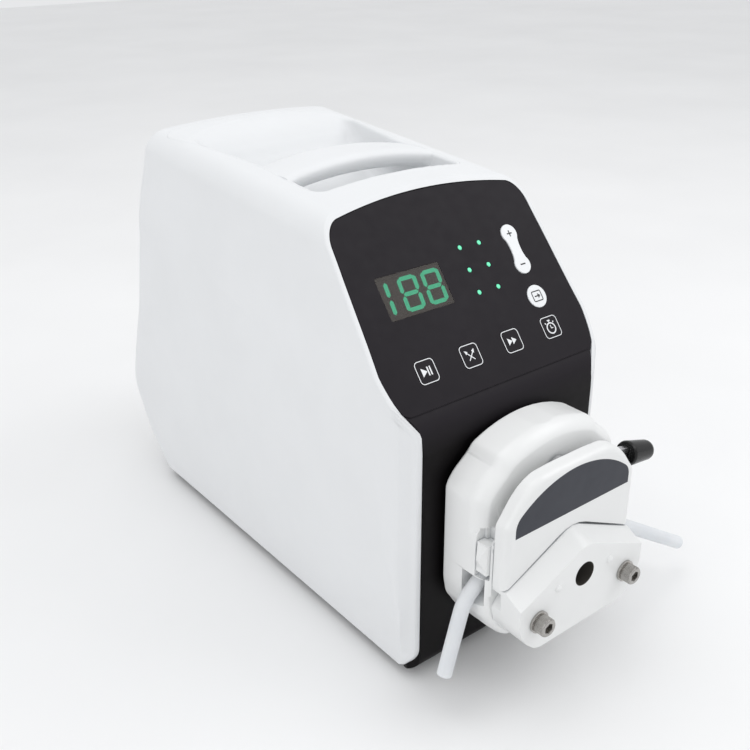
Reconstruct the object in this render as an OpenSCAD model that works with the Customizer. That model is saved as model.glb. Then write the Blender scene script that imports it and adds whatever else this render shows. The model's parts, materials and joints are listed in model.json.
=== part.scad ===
// Benchtop peristaltic pump: a drive unit with a sloping control panel, and an
// easy-load pump head with three rollers, a lifting pressure block and a lever.
// Units are millimetres. The origin is on the bench, midway between the four feet.
// +X is the operator's right, -Y is the side that faces the operator, +Z is up.
// Inside pump_frame(), y = 0 is the drive's lower front face and z = 0 is the
// height of the pump shaft.

/* [Drive unit] */
// Height of the pump shaft above the bench
shaft_height = 74; // [74:1:80]
// Distance between the front and rear feet
foot_spacing_y = 220; // [200:5:230]
// Distance between the left and right feet
foot_spacing_x = 92; // [80:2:96]
// Height of the rubber feet
foot_height = 4; // [3:0.5:5]
// Wall thickness of the white shell
shell_wall = 2.5; // [2:0.25:3]
// Thickness of the black front moulding
bezel_wall = 3; // [2.5:0.25:3]

/* [Control panel] */
// Lean of the control panel, back from vertical, in degrees
panel_lean = 38.5; // [38:0.5:39]
// Spacing of the four square keys
key_pitch = 29.5; // [29:0.5:30]
// Width of a square key
key_w = 12.6; // [12:0.2:13]
// How far a key travels when it is pressed
key_travel = 0.4; // [0.2:0.1:0.5]

/* [Pump head] */
// Outer radius of the three rollers' orbit
orbit_r = 26.5; // [26:0.1:26.5]
// Radius of one roller
roller_r = 7; // [6:0.5:7.5]
// Depth of a roller, front to back
roller_len = 15; // [14:0.5:15]
// Inner radius of the curved track that the tube is pressed against
track_r = 29.4; // [29.4:0.1:29.6]
// How far the pressure block lifts when the lever is swung over
block_lift = 12; // [8:1:12]
// Radius of the bore in the front of the head
front_bore_r = 6.75; // [6:0.25:7]
// Spacing of the two mounting screws
screw_spacing = 65.6; // [65:0.2:66]

/* [Tube] */
// Outer diameter of the tube
tube_od = 8; // [7:0.5:8]
// Inner diameter of the tube
tube_id = 4.8; // [3.2:0.1:5]

/* [Hidden] */
$fn = 48;
hull_fn = 32;
origin_y = 144;
panel_foot = [5.9, 84.7];
bottom_z = -70;
running = 0.05;
gap = 0.3;
m6_r = 3;
screw_x = screw_spacing / 2;
screw_z = -13.3;
lever_z = 52;
switch_tilt = 8;
rocker_pivot_depth = 1.2;
rocker_pivot_r = 0.6;
lever_rest = 12.5;
cam_r = 9;
cam_throw = block_lift / 2;
pitch_r = orbit_r - roller_r;
roller_y = [-33.6, -33.6 + roller_len];
front_face = -55.5;
cover_face = -45;
split_y = -36;
slot_y = -30;
shaft_front = -28;
tube_y = -26.1;
tube_flat = 2.2;
tube_flat_w = 10.6;
display = [-51.7, -10, 47.2, 70.5];
plus_key = [44.1, 65.4];
round_key = [44.1, 37.1];
led_u = [7.9, 21.7];
led_v = [48.6, 61.5, 74.4];
key_v = 18.8;
board_w = -12.6;
rear_opening = [46, -48, 44];
rear_plate_y = 283;
pocket_half = 51.5;
white = [0.9, 0.91, 0.92];
black = [0.06, 0.06, 0.07];
steel = [0.72, 0.72, 0.74];

// ---------------------------------------------------------------- helpers
function unit(v) = v / norm(v);
function right_of(d) = [d[1], -d[0]];
function miter(n1, n2) = 2 * (n1 + n2) / ((n1 + n2) * (n1 + n2));
function arc(c, r, a0, a1, n) =
    [for (i = [0:n]) let (a = a0 + (a1 - a0) * i / n) c + r * [cos(a), sin(a)]];
function reversed(p) = [for (i = [len(p) - 1:-1:0]) p[i]];
function mirrored(half) = concat(half, [for (p = reversed(half)) [-p[0], p[1]]]);
// A closed clockwise outline, moved inwards by t.
function inset(p, t) =
    [for (i = [0:len(p) - 1])
        let (a = p[(i + len(p) - 1) % len(p)], b = p[i], c = p[(i + 1) % len(p)])
        b + t * miter(right_of(unit(b - a)), right_of(unit(c - b)))];
// An open line, moved to its right by t.
function beside(p, t) =
    [for (i = [0:len(p) - 1])
        let (last = len(p) - 1,
             d1 = unit(p[max(i, 1)] - p[max(i, 1) - 1]),
             d2 = unit(p[min(i, last - 1) + 1] - p[min(i, last - 1)]))
        p[i] + t * miter(right_of(d1), right_of(d2))];

module pump_frame() { translate([0, -origin_y, shaft_height]) children(); }
// Stands a drawing of the X-Z plane up, filling y0 to y1.
module along_y(y0, y1) { translate([0, y1, 0]) rotate([90, 0, 0]) linear_extrude(y1 - y0) children(); }
// Stands a drawing of the Y-Z plane up, filling -half_w to half_w.
module across_x(half_w) {
    rotate([90, 0, 90]) translate([0, 0, -half_w]) linear_extrude(2 * half_w) children();
}
module box(x, y, z) {
    translate([x[0], y[0], z[0]]) cube([x[1] - x[0], y[1] - y[0], z[1] - z[0]]);
}
module rod_y(r, y0, y1) { translate([0, y1, 0]) rotate([90, 0, 0]) cylinder(r = r, h = y1 - y0); }
module rod_x(r, x0, x1) { translate([x0, 0, 0]) rotate([0, 90, 0]) cylinder(r = r, h = x1 - x0); }
module both_sides() {
    children();
    mirror([1, 0, 0]) children();
}
module round_rect(w, h, r) {
    square([w - 2 * r, h], center = true);
    square([w, h - 2 * r], center = true);
    for (x = [-1, 1], y = [-1, 1]) translate([x * (w / 2 - r), y * (h / 2 - r)]) circle(r);
}
// The control panel's own frame: x across, y up the slope, z out of the panel.
module on_panel() {
    translate([0, panel_foot[0], panel_foot[1]]) rotate([90 - panel_lean, 0, 0]) children();
}

// ------------------------------------------------------- drive unit outlines
// Front edge seen from the side, from the bottom corner up to the panel's top.
function front_line(y0, z0, r) = concat(
    arc([y0 + r, z0 + r], r, 270, 180, 6),
    [[y0, 66], [y0 + 0.3, 71], [1.2, 75.4], [2.9, 80.2], panel_foot,
     panel_foot + 115 * [sin(panel_lean), cos(panel_lean)]]);
side_outline = concat(
    front_line(0.6, -68, 14),
    [[80, 190], [232, 192]],
    arc([246.5, 177.5], 9, 75, 12, 4),
    [[277, 135], [288, 99], [298, 61], [307, 38], [315, 16], [319, 2], [320, -10],
     [317, -24], [310, -37], [299, -50], [286, -60]],
    arc([272, -56], 12, -50, -90, 2));
plan_outline = mirrored(concat(
    [[-63.5, -60], [-63.5, 0]],
    [for (i = [0:5]) [-66.5 - 8.6 * sin(i * 18), 4 + 26 * (1 - cos(i * 18))]],
    [[-75.1, 110], [-74.2, 160], [-72.6, 210]],
    arc([-49, 299], 23.6, 180, 90, 6)));
width_outline = mirrored([
    [-66, -80], [-67.7, -68], [-70.9, -30], [-73.4, 10], [-74.8, 50], [-75.1, 85],
    [-74.6, 101], [-73.2, 115], [-71.2, 140], [-69.9, 155], [-67.9, 190], [-62.5, 220]]);
crown_r = 376;
crown_slope = 4.3;
crown_outline = mirrored(concat(
    [[-84, -340], [-84, -100], [-73.5, -44]],
    arc([-58.9, -15.6], 11.6, 178, 98, 5),
    arc([0, -crown_r], crown_r, 98.2, 91, 4)));

// Everything inside the side walls and under the crowned top.
module core(t) {
    intersection() {
        translate([0, 0, -100]) linear_extrude(340) polygon(inset(plan_outline, t));
        along_y(-20, 340) polygon(inset(width_outline, t));
        translate([0, 75, 174]) rotate([crown_slope, 0, 0]) along_y(-150, 300)
            polygon(inset(crown_outline, t));
    }
}
module side_form(t) { across_x(80) polygon(inset(side_outline, t)); }
// The hollow of the shell, open at the front and underneath.
module shell_hollow() {
    intersection() {
        core(shell_wall);
        union() {
            side_form(shell_wall);
            across_x(80) polygon(concat(
                beside(front_line(0.6, -68, 14), 20),
                reversed(beside(front_line(0.6, -68, 14), -30))));
            box([-80, 80], [-30, 276], [-100, -60]);
        }
    }
}
module rear_recess(grow) {
    box([-rear_opening[0] - grow, rear_opening[0] + grow], [rear_plate_y + 2, 340],
        [rear_opening[1] - grow, rear_opening[2] + grow]);
}
// The grip pocket seen from above: it widens towards the rear.
pocket_outline = mirrored(concat(
    arc([-pocket_half + 8, 104], 8, 270, 180, 4), [[-pocket_half, 159], [-56.8, 199]],
    arc([-55.5, 234.5], 7, 172, 90, 4)));
module pocket_form(t) {
    translate([0, 0, 100]) linear_extrude(120) polygon(inset(pocket_outline, t));
}

// ------------------------------------------------------------- drive unit
module outer_shell() {
    pump_frame() color(white) difference() {
        union() {
            difference() {
                intersection() {
                    core(0);
                    side_form(0);
                }
                shell_hollow();
            }
            intersection() {
                core(1);
                side_form(1);
                rear_recess(shell_wall);
            }
        }
        rear_recess(0);
        pocket_form(0);
    }
}
// Floor of the grip pocket, seen from the side.
pocket_floor = [[90, 144], [148, 144], [168, 146.5], [186, 153], [204, 165],
                [211, 172], [219, 178.4], [232, 184.6], [243, 193]];
module above_floor(t) {
    across_x(70) polygon(concat(beside(pocket_floor, t), [[260, 230], [90, 230]]));
}
// Underside of the tray: follows the floor, then runs level to the rear wall.
module above_underside() {
    line = beside(pocket_floor, 2.2);
    across_x(70) polygon(concat([for (i = [0:5]) line[i]], [[260, 169], [260, 230], [90, 230]]));
}
module handle_tray() {
    pump_frame() color(white) difference() {
        intersection() {
            core(0.6);
            pocket_form(gap);
            above_underside();
        }
        intersection() {
            pocket_form(shell_wall);
            above_floor(0);
        }
    }
}
module carry_handle() {
    half = pocket_half - shell_wall;
    arch_r = 255;
    pump_frame() color(white) intersection() {
        along_y(124, 162) difference() {
            intersection() {
                translate([0, 180 - arch_r]) circle(arch_r, $fn = 120);
                translate([-half, 150]) square([2 * half, 40]);
            }
            translate([0, 170.5 - arch_r]) circle(arch_r, $fn = 120);
        }
        across_x(half) polygon(concat(
            arc([129, 174], 5, 180, 100, 4), arc([154, 168], 8, 62, 0, 4),
            [[162, 150], [154, 150], [150, 166], [132, 168], [124, 164]]));
    }
}
module front_bezel() {
    line = front_line(0, bottom_z, 9);
    top = len(line) - 1;
    lowered = beside(line, 0.82);
    edge = [for (i = [0:top]) i < top - 1 ? line[i] : lowered[i]];
    pump_frame() color(black) difference() {
        intersection() {
            core(shell_wall + 0.2);
            across_x(70) polygon(concat(edge, reversed(beside(line, bezel_wall + 0.8))));
        }
        rod_y(20, -1, 8);
        for (s = [-1, 1]) translate([s * screw_x, 0, screw_z]) rod_y(m6_r + gap, -1, 8);
        on_panel() {
            translate([0, 0, -6]) linear_extrude(7) panel_openings(0);
            for (u = [-1.5, -0.5, 0.5, 1.5]) translate([u * key_pitch, key_v, -0.8 - 2 * key_travel])
                linear_extrude(2) round_rect(key_w + 0.6, key_w + 0.6, 3);
            translate([round_key[0], round_key[1], -0.8 - 2 * key_travel]) cylinder(r = 6.9, h = 2);
            translate([plus_key[0], plus_key[1], -0.8 - 2 * key_travel]) linear_extrude(2) rocker_outline(0.4);
            translate([plus_key[0], plus_key[1], -rocker_pivot_depth])
                rod_x(rocker_pivot_r + running, -3.2, 3.2);
        }
    }
}
// Holes through the panel for the display, the lamps and the key stems.
module panel_openings(grow) {
    translate([display[0] - grow + 1, display[2] - grow + 1])
        square([display[1] - display[0] - 2 + 2 * grow, display[3] - display[2] - 2 + 2 * grow]);
    for (u = led_u, v = led_v) translate([u, v]) circle(1.7);
    for (u = [-1.5, -0.5, 0.5, 1.5]) translate([u * key_pitch, key_v]) circle(3);
    translate(round_key) circle(3);
    for (s = [-1, 1]) translate([plus_key[0], plus_key[1] + s * 9]) circle(3);
}
module rocker_outline(grow) {
    for (s = [-1, 1]) translate([0, s * 9.2]) circle(5.6 + grow);
    square([7.4 + 2 * grow, 18], center = true);
}
module panel_film() {
    pump_frame() color([0.17, 0.165, 0.18]) difference() {
        intersection() {
            core(shell_wall + 0.4);
            on_panel() box([-80, 80], [0.4, 112], [-0.8, 0]);
        }
        on_panel() translate([0, 0, -2]) linear_extrude(3) {
            translate([(display[0] + display[1]) / 2, (display[2] + display[3]) / 2])
                round_rect(display[1] - display[0], display[3] - display[2], 1);
            for (u = led_u, v = led_v) translate([u, v]) circle(1.7);
            for (u = [-1.5, -0.5, 0.5, 1.5]) translate([u * key_pitch, key_v])
                round_rect(key_w + 0.3, key_w + 0.3, 2.6);
            translate(round_key) circle(6.7);
            translate(plus_key) rocker_outline(0.2);
        }
    }
}
module display_window() {
    pump_frame() color([0.3, 0.27, 0.26]) on_panel()
        translate([(display[0] + display[1]) / 2, (display[2] + display[3]) / 2, -0.8])
            linear_extrude(0.7)
                round_rect(display[1] - display[0] - 0.1, display[3] - display[2] - 0.1, 0.9);
}
module digit_module() {
    pump_frame() color([0.28, 0.26, 0.25]) on_panel()
        box([display[0] + 1.4, display[1] - 1.4], [display[2] + 1.4, display[3] - 1.4],
            [board_w + 1.6, -1.6]);
}
// One seven-segment figure, w wide and h high; on lists its lit bars.
module figure(w, h, on) {
    t = 2.1;
    if (on[0]) translate([0, h / 2 - t / 2]) bar(w - 1.2 * t, t);
    if (on[1]) translate([w / 2 - t / 2, h / 4]) rotate(90) bar(h / 2 - t / 2, t);
    if (on[2]) translate([w / 2 - t / 2, -h / 4]) rotate(90) bar(h / 2 - t / 2, t);
    if (on[3]) translate([0, -h / 2 + t / 2]) bar(w - 1.2 * t, t);
    if (on[4]) translate([-w / 2 + t / 2, -h / 4]) rotate(90) bar(h / 2 - t / 2, t);
    if (on[5]) translate([-w / 2 + t / 2, h / 4]) rotate(90) bar(h / 2 - t / 2, t);
    if (on[6]) bar(w - 1.2 * t, t);
}
module bar(l, t) {
    polygon([[-l / 2, 0], [-l / 2 + t / 2, t / 2], [l / 2 - t / 2, t / 2], [l / 2, 0],
             [l / 2 - t / 2, -t / 2], [-l / 2 + t / 2, -t / 2]]);
}
module digit_segments() {
    one = [false, true, true, false, false, false, false];
    eight = [true, true, true, true, true, true, true];
    mid = (display[2] + display[3]) / 2;
    pump_frame() color([0.3, 0.85, 0.6]) on_panel() translate([0, 0, -1.6]) linear_extrude(0.5) {
        translate([-46.2, mid]) figure(9.6, 18.6, one);
        translate([-32.6, mid]) figure(12, 18.6, eight);
        translate([-17.2, mid]) figure(12, 18.6, eight);
    }
}
module indicator_leds() {
    pump_frame() color([0.6, 0.95, 0.8]) on_panel()
        for (u = led_u, v = led_v) translate([u, v, board_w + 1.6]) {
            cylinder(r = 1.5, h = -board_w - 1.6);
            cylinder(r = 2.4, h = 6);
        }
}
module square_key(n) {
    pump_frame() color([0.17, 0.165, 0.18]) on_panel() translate([(n - 1.5) * key_pitch, key_v, 0]) {
        translate([0, 0, -0.8]) linear_extrude(0.9) round_rect(key_w, key_w, 2.4);
        translate([0, 0, -5.2]) cylinder(r = 2.4, h = 4.5);
    }
}
module start_key() { square_key(0); }
module direction_key() { square_key(1); }
module prime_key() { square_key(2); }
module timer_key() { square_key(3); }
module mode_key() {
    pump_frame() color(white) on_panel() translate([round_key[0], round_key[1], 0]) {
        translate([0, 0, -0.8]) cylinder(r = 6.5, h = 1.2);
        translate([0, 0, -5.2]) cylinder(r = 2.4, h = 4.5);
    }
}
module speed_rocker() {
    pump_frame() color(white) on_panel() translate([plus_key[0], plus_key[1], 0]) {
        translate([0, 0, -0.7]) linear_extrude(1.2) rocker_outline(0);
        translate([0, 0, -rocker_pivot_depth]) rod_x(rocker_pivot_r, -3, 3);
        for (s = [-1, 1]) translate([0, s * 9, -5.1]) cylinder(r = 2.2, h = 4.5);
    }
}
module key_switches() {
    spots = concat([for (u = [-1.5, -0.5, 0.5, 1.5]) [u * key_pitch, key_v]], [round_key],
        [for (s = [-1, 1]) [plus_key[0], plus_key[1] + s * 9]]);
    pump_frame() color([0.2, 0.2, 0.22]) on_panel() for (p = spots)
        translate([p[0], p[1], board_w + 1.6]) {
            translate([-3, -3, 0]) cube([6, 6, 3.6]);
            translate([0, 0, 3.5]) cylinder(r = 1.7, h = 1.6);
        }
}
module display_board() {
    pump_frame() color([0.1, 0.35, 0.2]) on_panel() difference() {
        box([-58, 58], [8, 84], [board_w, board_w + 1.6]);
        for (u = [-54, 54], v = [12, 80]) translate([u, v, board_w - 1]) cylinder(r = 1.6, h = 4);
    }
}
module base_tray() {
    pump_frame() color(black) difference() {
        union() {
            intersection() {
                core(shell_wall + 0.3);
                box([-80, 80], [10.5, 275.7], [bottom_z, bottom_z + 4]);
            }
            foot_places() translate([0, 0, bottom_z + 3.9]) cylinder(r = 8, h = 6);
        }
        foot_places() translate([0, 0, bottom_z - 1]) cylinder(r = 1.7, h = 12);
    }
}
module foot_places() {
    for (x = [-1, 1], y = [-1, 1])
        translate([x * foot_spacing_x / 2, origin_y + y * foot_spacing_y / 2, 0]) children();
}
module rubber_feet() {
    pump_frame() color([0.12, 0.12, 0.13]) foot_places() difference() {
        translate([0, 0, bottom_z - foot_height]) cylinder(r1 = 7.4, r2 = 8.4, h = foot_height);
        translate([0, 0, bottom_z - foot_height - 1]) cylinder(r = 3.6, h = foot_height - 0.8);
        translate([0, 0, bottom_z - foot_height - 1]) cylinder(r = 1.9, h = foot_height + 2);
    }
}
module foot_screws() {
    pump_frame() color(steel) foot_places() {
        translate([0, 0, bottom_z - 1.8]) cylinder(r = 1.6, h = 10);
        translate([0, 0, bottom_z - 3.4]) difference() {
            cylinder(r = 3, h = 1.55);
            translate([-0.5, -2.4, -1]) cube([1, 4.8, 1.8]);
        }
    }
}
module motor_plate() {
    pump_frame() color([0.7, 0.71, 0.72]) difference() {
        union() {
            box([-44, 44], [4.2, 8.2], [-62, 44]);
            box([-30, 30], [8.1, 13], [-62, -58]);
            box([-30, 30], [10.6, 13], [-66, -58]);
            box([-30, 30], [12.9, 60], [-66, -62]);
        }
        rod_y(19.1, 3, 9);
        for (s = [-1, 1]) translate([s * screw_x, 0, screw_z]) rod_y(m6_r + running, 3, 9);
    }
}
module drive_motor() {
    pump_frame() color([0.13, 0.13, 0.14]) difference() {
        union() {
            along_y(8.2, 14) round_rect(57, 57, 4);
            along_y(14, 72) difference() {
                square(57, center = true);
                for (x = [-1, 1], y = [-1, 1]) translate([x * 26, y * 26]) rotate(45)
                    square([16, 6], center = true);
            }
            along_y(72, 84) round_rect(57, 57, 4);
            rod_y(19, 6.6, 8.3);
            box([-9, 9], [40, 60], [28, 33]);
        }
        rod_y(4 + running, 5, 76);
    }
}
module drive_shaft() {
    pump_frame() color(steel) union() {
        rod_y(4, -1.8, 75.9);
        intersection() {
            rod_y(4, -6, -1.7);
            box([-1.5, 1.5], [-6, -1.7], [-4, 4]);
        }
    }
}
module control_board() {
    pump_frame() {
        color([0.1, 0.35, 0.2]) difference() {
            box([-50, 50], [96, 176], [-54, -52.4]);
            for (x = [-45, 45], y = [101, 171]) translate([x, y, -56]) cylinder(r = 1.7, h = 6);
        }
        color([0.1, 0.1, 0.1]) {
            box([-12, 8], [120, 140], [-52.41, -50]);
            box([20, 34], [108, 116], [-52.41, -49]);
            box([-42, -36], [120, 160], [-52.41, -42]);
        }
        color([0.5, 0.5, 0.52]) for (i = [0:5]) box([18 + i * 4, 20 + i * 4], [130, 160], [-49.5, -36]);
        color([0.5, 0.5, 0.52]) box([16, 42], [130, 160], [-52.41, -49.4]);
        color([0.2, 0.25, 0.5]) for (x = [-28, -16, -4]) translate([x, 152, -52.41]) cylinder(r = 5, h = 14);
    }
}
module board_standoffs() {
    pump_frame() color([0.8, 0.7, 0.4]) for (x = [-45, 45], y = [101, 171])
        translate([x, y, bottom_z + 4]) {
            cylinder(r = 3, h = 12, $fn = 6);
            cylinder(r = 1.6, h = 14.5);
        }
}
module power_supply() {
    pump_frame() color([0.62, 0.63, 0.65]) difference() {
        box([-36, 36], [190, 262], [-66, -30]);
        for (x = [-3:3], y = [0:5]) translate([x * 9, 203 + y * 9, -34]) cylinder(r = 2.4, h = 6);
        box([-34.5, 34.5], [191.5, 260.5], [-64.5, -31.5]);
    }
}
module rear_panel() {
    w = rear_opening[0] + 2;
    pump_frame() color([0.15, 0.15, 0.16]) difference() {
        box([-w, w], [rear_plate_y, rear_plate_y + 2], [rear_opening[1] - 2, rear_opening[2] + 2]);
        box([-40, -12], [280, 290], [-36, -12]);
        box([2, 24], [280, 290], [-34, -20]);
        box([-14, 14], [280, 290], [13, 23]);
        for (x = [0:9]) box([22 + x * 2.4, 23 + x * 2.4], [280, 290], [0, 34]);
    }
}
module power_inlet() {
    pump_frame() color(black) difference() {
        union() {
            box([-39.8, -12.2], [264, 285], [-35.8, -12.2]);
            box([-43, -9], [285, 287.4], [-39, -9]);
        }
        box([-37, -15], [268, 290], [-34.5, -21.5]);
        box([-34, -18], [275, 290], [-19.7, -13.7]);
    }
    pump_frame() color(steel) for (x = [-33, -26, -19])
        box([x - 1, x + 1], [267, 283], [x == -26 ? -26 : -31, x == -26 ? -22 : -27]);
}
module fuse_drawer() {
    pump_frame() color([0.1, 0.1, 0.11]) {
        box([-33.8, -18.2], [276, 287.4], [-19.5, -13.9]);
        box([-30, -22], [287.3, 288.4], [-17.6, -15.8]);
    }
}
module switch_housing() {
    pump_frame() color(black) difference() {
        union() {
            box([2.2, 23.8], [268, 285], [-33.8, -20.2]);
            box([0, 26], [285, 287], [-36, -18]);
        }
        box([4, 22], [276, 290], [-32.2, -21.8]);
        translate([0, 284.5, -27]) rod_x(1 + running, 3, 23);
    }
}
// Rocker of the mains switch; its pins lie along X.
module power_switch() {
    pump_frame() color([0.12, 0.12, 0.13]) translate([0, 284.5, -27]) {
        translate([4.3, 0, 0]) rotate([90, 0, 90]) linear_extrude(17.4) rotate(switch_tilt)
            polygon([[-4, -2.6], [-4, 2.6], [1.4, 4.6], [3.6, 4.4], [2.8, 0], [3.6, -4.4], [1.4, -4.6]]);
        rod_x(1, 3.1, 22.9);
    }
}
module control_port() {
    pump_frame() color(steel) difference() {
        union() {
            box([-19, 19], [285, 286], [12, 24]);
            box([-13.8, 13.8], [272, 285.5], [13.2, 22.8]);
            along_y(285.9, 290) placed_rect([0, 18], 25, 8.4, 2);
        }
        along_y(286, 291) placed_rect([0, 18], 23.4, 6.8, 1.6);
    }
}
module placed_rect(at, w, h, r) { translate(at) round_rect(w, h, r); }

// -------------------------------------------------------------- pump head
head_half = concat([[33, -38], [42, -28.5], [48.6, -18], [50.5, -8], [50.5, 48], [46, 54.4],
                    [41, 58.4], [36.6, 61.6], [33.6, 66]],
    [for (i = [4:-1:1]) [74.2 * sin(i * 6), 74.2 * cos(i * 6) - 0.2]]);
low_half = [[33, -38], [42, -28.5], [48.6, -18], [50.5, -8], [50.5, 33]];
cover_half = concat([[0, 24.8], [5, 24.2], [10, 22.4], [47, 4.6], [47, 40]],
    [for (i = [0:5]) [18 + 26.6 * sin(78 - i * 13), 42.4 + 18.6 * (1 - pow(sin(78 - i * 13), 2.4))]],
    [[12, 61.3]]);
block_bottom = [[30, -31], [34.5, -29.4], [39.8, -24.6], [44.2, -18.6], [45.8, -12]];

module adapter_plate() {
    pump_frame() color([0.2, 0.2, 0.21]) difference() {
        along_y(-2, 0) polygon(mirrored([[30, -34], [44, -18], [44, 40], [34, 52]]));
        rod_y(14, -3, 1);
        for (s = [-1, 1]) translate([s * screw_x, 0, screw_z]) rod_y(m6_r + gap, -3, 1);
    }
}
module head_body() {
    pump_frame() color(white) difference() {
        union() {
            hull() {
                along_y(-2.6, -2) polygon(inset(reversed(mirrored(head_half)), 2.6));
                along_y(-5, -4.6) polygon(mirrored(head_half));
            }
            along_y(-26, -4.7) polygon(mirrored(head_half));
            hull() {
                along_y(-26.1, -26) polygon(mirrored(head_half));
                along_y(slot_y, slot_y + 0.1) polygon(inset(reversed(mirrored(head_half)), 4.5));
            }
            along_y(split_y, -26) polygon(mirrored(low_half));
        }
        // Space for the lever's arm, above the side walls.
        box([-60, 60], [split_y - 1, slot_y - 0.01], [33.01, 80]);
        // Rotor chamber and, above it, the pressure block's shaft.
        rod_y(28.9, split_y - 1, -15);
        along_y(shaft_front, -15) intersection() {
            union() {
                translate([-37, 0]) square([74, 44]);
                translate([0, 44]) circle(r = 37);
            }
            circle(r = 69.4, $fn = 96);
            translate([-37, 0]) square([74, 68.2]);
        }
        // Opening in the front wall for the block's neck, in its rest and lifted places.
        along_y(split_y - 1, shaft_front + 0.1) {
            translate([-33.3, 0]) square([66.6, block_lift]);
            translate([0, block_lift]) circle(r = 33.3, $fn = 96);
            translate([-30.3, 0]) square([60.6, 23.3 + block_lift]);
        }
        translate([0, 0, lever_z]) rod_y(4 + running, slot_y - 1, shaft_front + 1);
        // Tube channel through both side walls.
        both_sides() {
            along_y(-33.4, -18.8)
                polygon([[32, 17], [44, 8], [60, 2.5], [60, -19], [52, -12.6], [44, -7], [32, 2.75]]);
            // Tube clamp's groove.
            box([44.4, 60], [-35.2, -27.4], [6.3, 33.1]);
            box([41.4, 44.5], [-34, -28.6], [6.3, 33.1]);
        }
        both_sides() box([36.9, 38.7], [-24, -19], [-2, 56]);
        rod_y(9.5 + running, -12, -5);
        rod_y(6.5, -16, -1);
        translate([0, 0, lever_z]) rod_y(4 + running, -16, -5);
        for (s = [-1, 1]) translate([s * screw_x, 0, screw_z]) rod_y(m6_r + gap, split_y - 1, -1);
    }
}
function roof(peak, eave, half) = [[half, eave], [9, peak - 3.4], [4.6, peak - 0.9], [0, peak]];
module lower_block() {
    low = roof(17.2, -2, 45.8);
    high = roof(23.6, 3.4, 46);
    pump_frame() color(white) difference() {
        union() {
            hull() {
                along_y(front_face, front_face + 0.1) polygon(mirrored(concat(block_bottom, low)));
                along_y(cover_face - 0.1, cover_face) polygon(mirrored(concat(block_bottom, high)));
            }
            along_y(cover_face - 0.05, split_y) polygon(mirrored(concat(block_bottom, high)));
            for (s = [-1, 1]) translate([s * 19.3, front_face, 0.2]) sphere(r = 1.5, $fn = 24);
        }
        rod_y(front_bore_r, front_face - 1, split_y + 1);
        rod_y(9.5 + running, cover_face - 0.6, split_y + 1);
        for (s = [-1, 1]) translate([s * screw_x, 0, screw_z]) rod_y(m6_r + gap, front_face - 1, split_y + 1);
        both_sides() along_y(split_y - 6, split_y + 1) polygon([[38, 1], [52, 1], [52, -12], [47, -10.4], [43, -6]]);
    }
}
module pressure_block() {
    pump_frame() color(white) difference() {
        along_y(cover_face, split_y - 0.2) polygon(mirrored(cover_half));
        along_y(cover_face - 1, cover_face + 0.5) label_outline(0.2);
    }
}
module label_outline(grow) {
    intersection() {
        translate([0, -2.4 - grow]) circle(60.6 + 2 * grow, $fn = 96);
        translate([-41.5 - grow, 33 - grow]) square([83 + 2 * grow, 40]);
    }
}
module head_label() {
    pump_frame() color([0.25, 0.26, 0.29]) along_y(cover_face - 0.1, cover_face + 0.5) label_outline(0);
}
// Curved track over the rotor, with the rails that guide it in the head body.
module bed_outline(r, skirt) {
    difference() {
        union() {
            circle(r = r);
            translate([-skirt, 0]) square([2 * skirt, 23]);
        }
        circle(r = track_r);
        polygon(mirrored([[0, -60], [60, -60], [60, -4], [34.5, 15], [17.8, 23.6]]));
    }
}
module occlusion_bed() {
    pump_frame() color([0.85, 0.86, 0.87]) {
        along_y(shaft_front + 0.2, -16) bed_outline(35.4, 36.6);
        along_y(split_y - 0.2, shaft_front + 0.3) bed_outline(33, 30);
        both_sides() box([36.5, 38.4], [-23.7, -19.3], [13, 22.5]);
    }
}
module rotor_shaft() {
    pump_frame() color(steel) difference() {
        union() {
            rod_y(5, -45.4, -2);
            rod_y(8, -17.2, -15.4);
        }
        box([-1.55, 1.55], [-6.2, 0], [-6, 6]);
        box([-1.5, 1.5], [-46, -43.4], [-6, 6]);
    }
}
module rotor_discs() {
    pump_frame() color([0.6, 0.61, 0.63]) difference() {
        union() {
            rod_y(25, -18.4, -17.2);
            rod_y(25, -35.4, -33.8);
            rod_y(8, -33.9, -18.3);
        }
        rod_y(5, -36, -12);
        for (a = [90, 210, 330]) translate([pitch_r * cos(a), 0, pitch_r * sin(a)])
            rod_y(2, -36, -16);
    }
}
module roller_pins() {
    pump_frame() color(steel) for (a = [90, 210, 330])
        translate([pitch_r * cos(a), 0, pitch_r * sin(a)]) rod_y(2, -35.6, -17.2);
}
module roller(n) {
    a = 90 + n * 120;
    pump_frame() color([0.78, 0.78, 0.8]) translate([pitch_r * cos(a), 0, pitch_r * sin(a)])
        difference() {
            rod_y(roller_r, roller_y[0], roller_y[1]);
            rod_y(2 + running, -40, -10);
        }
}
module roller_1() { roller(0); }
module roller_2() { roller(1); }
module roller_3() { roller(2); }
module shaft_bearings() {
    pump_frame() color([0.75, 0.75, 0.76]) for (y = [-12, -43])
        difference() {
            rod_y(9.5, y, y + 7);
            rod_y(5 + running, y - 1, y + 8);
        }
}
module cam_shaft() {
    pump_frame() color(steel) translate([0, 0, lever_z]) {
        rod_y(4, -35.8, -5.2);
        translate([0, 0, -cam_throw]) rod_y(cam_r, -27, -17);
    }
}
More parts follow.
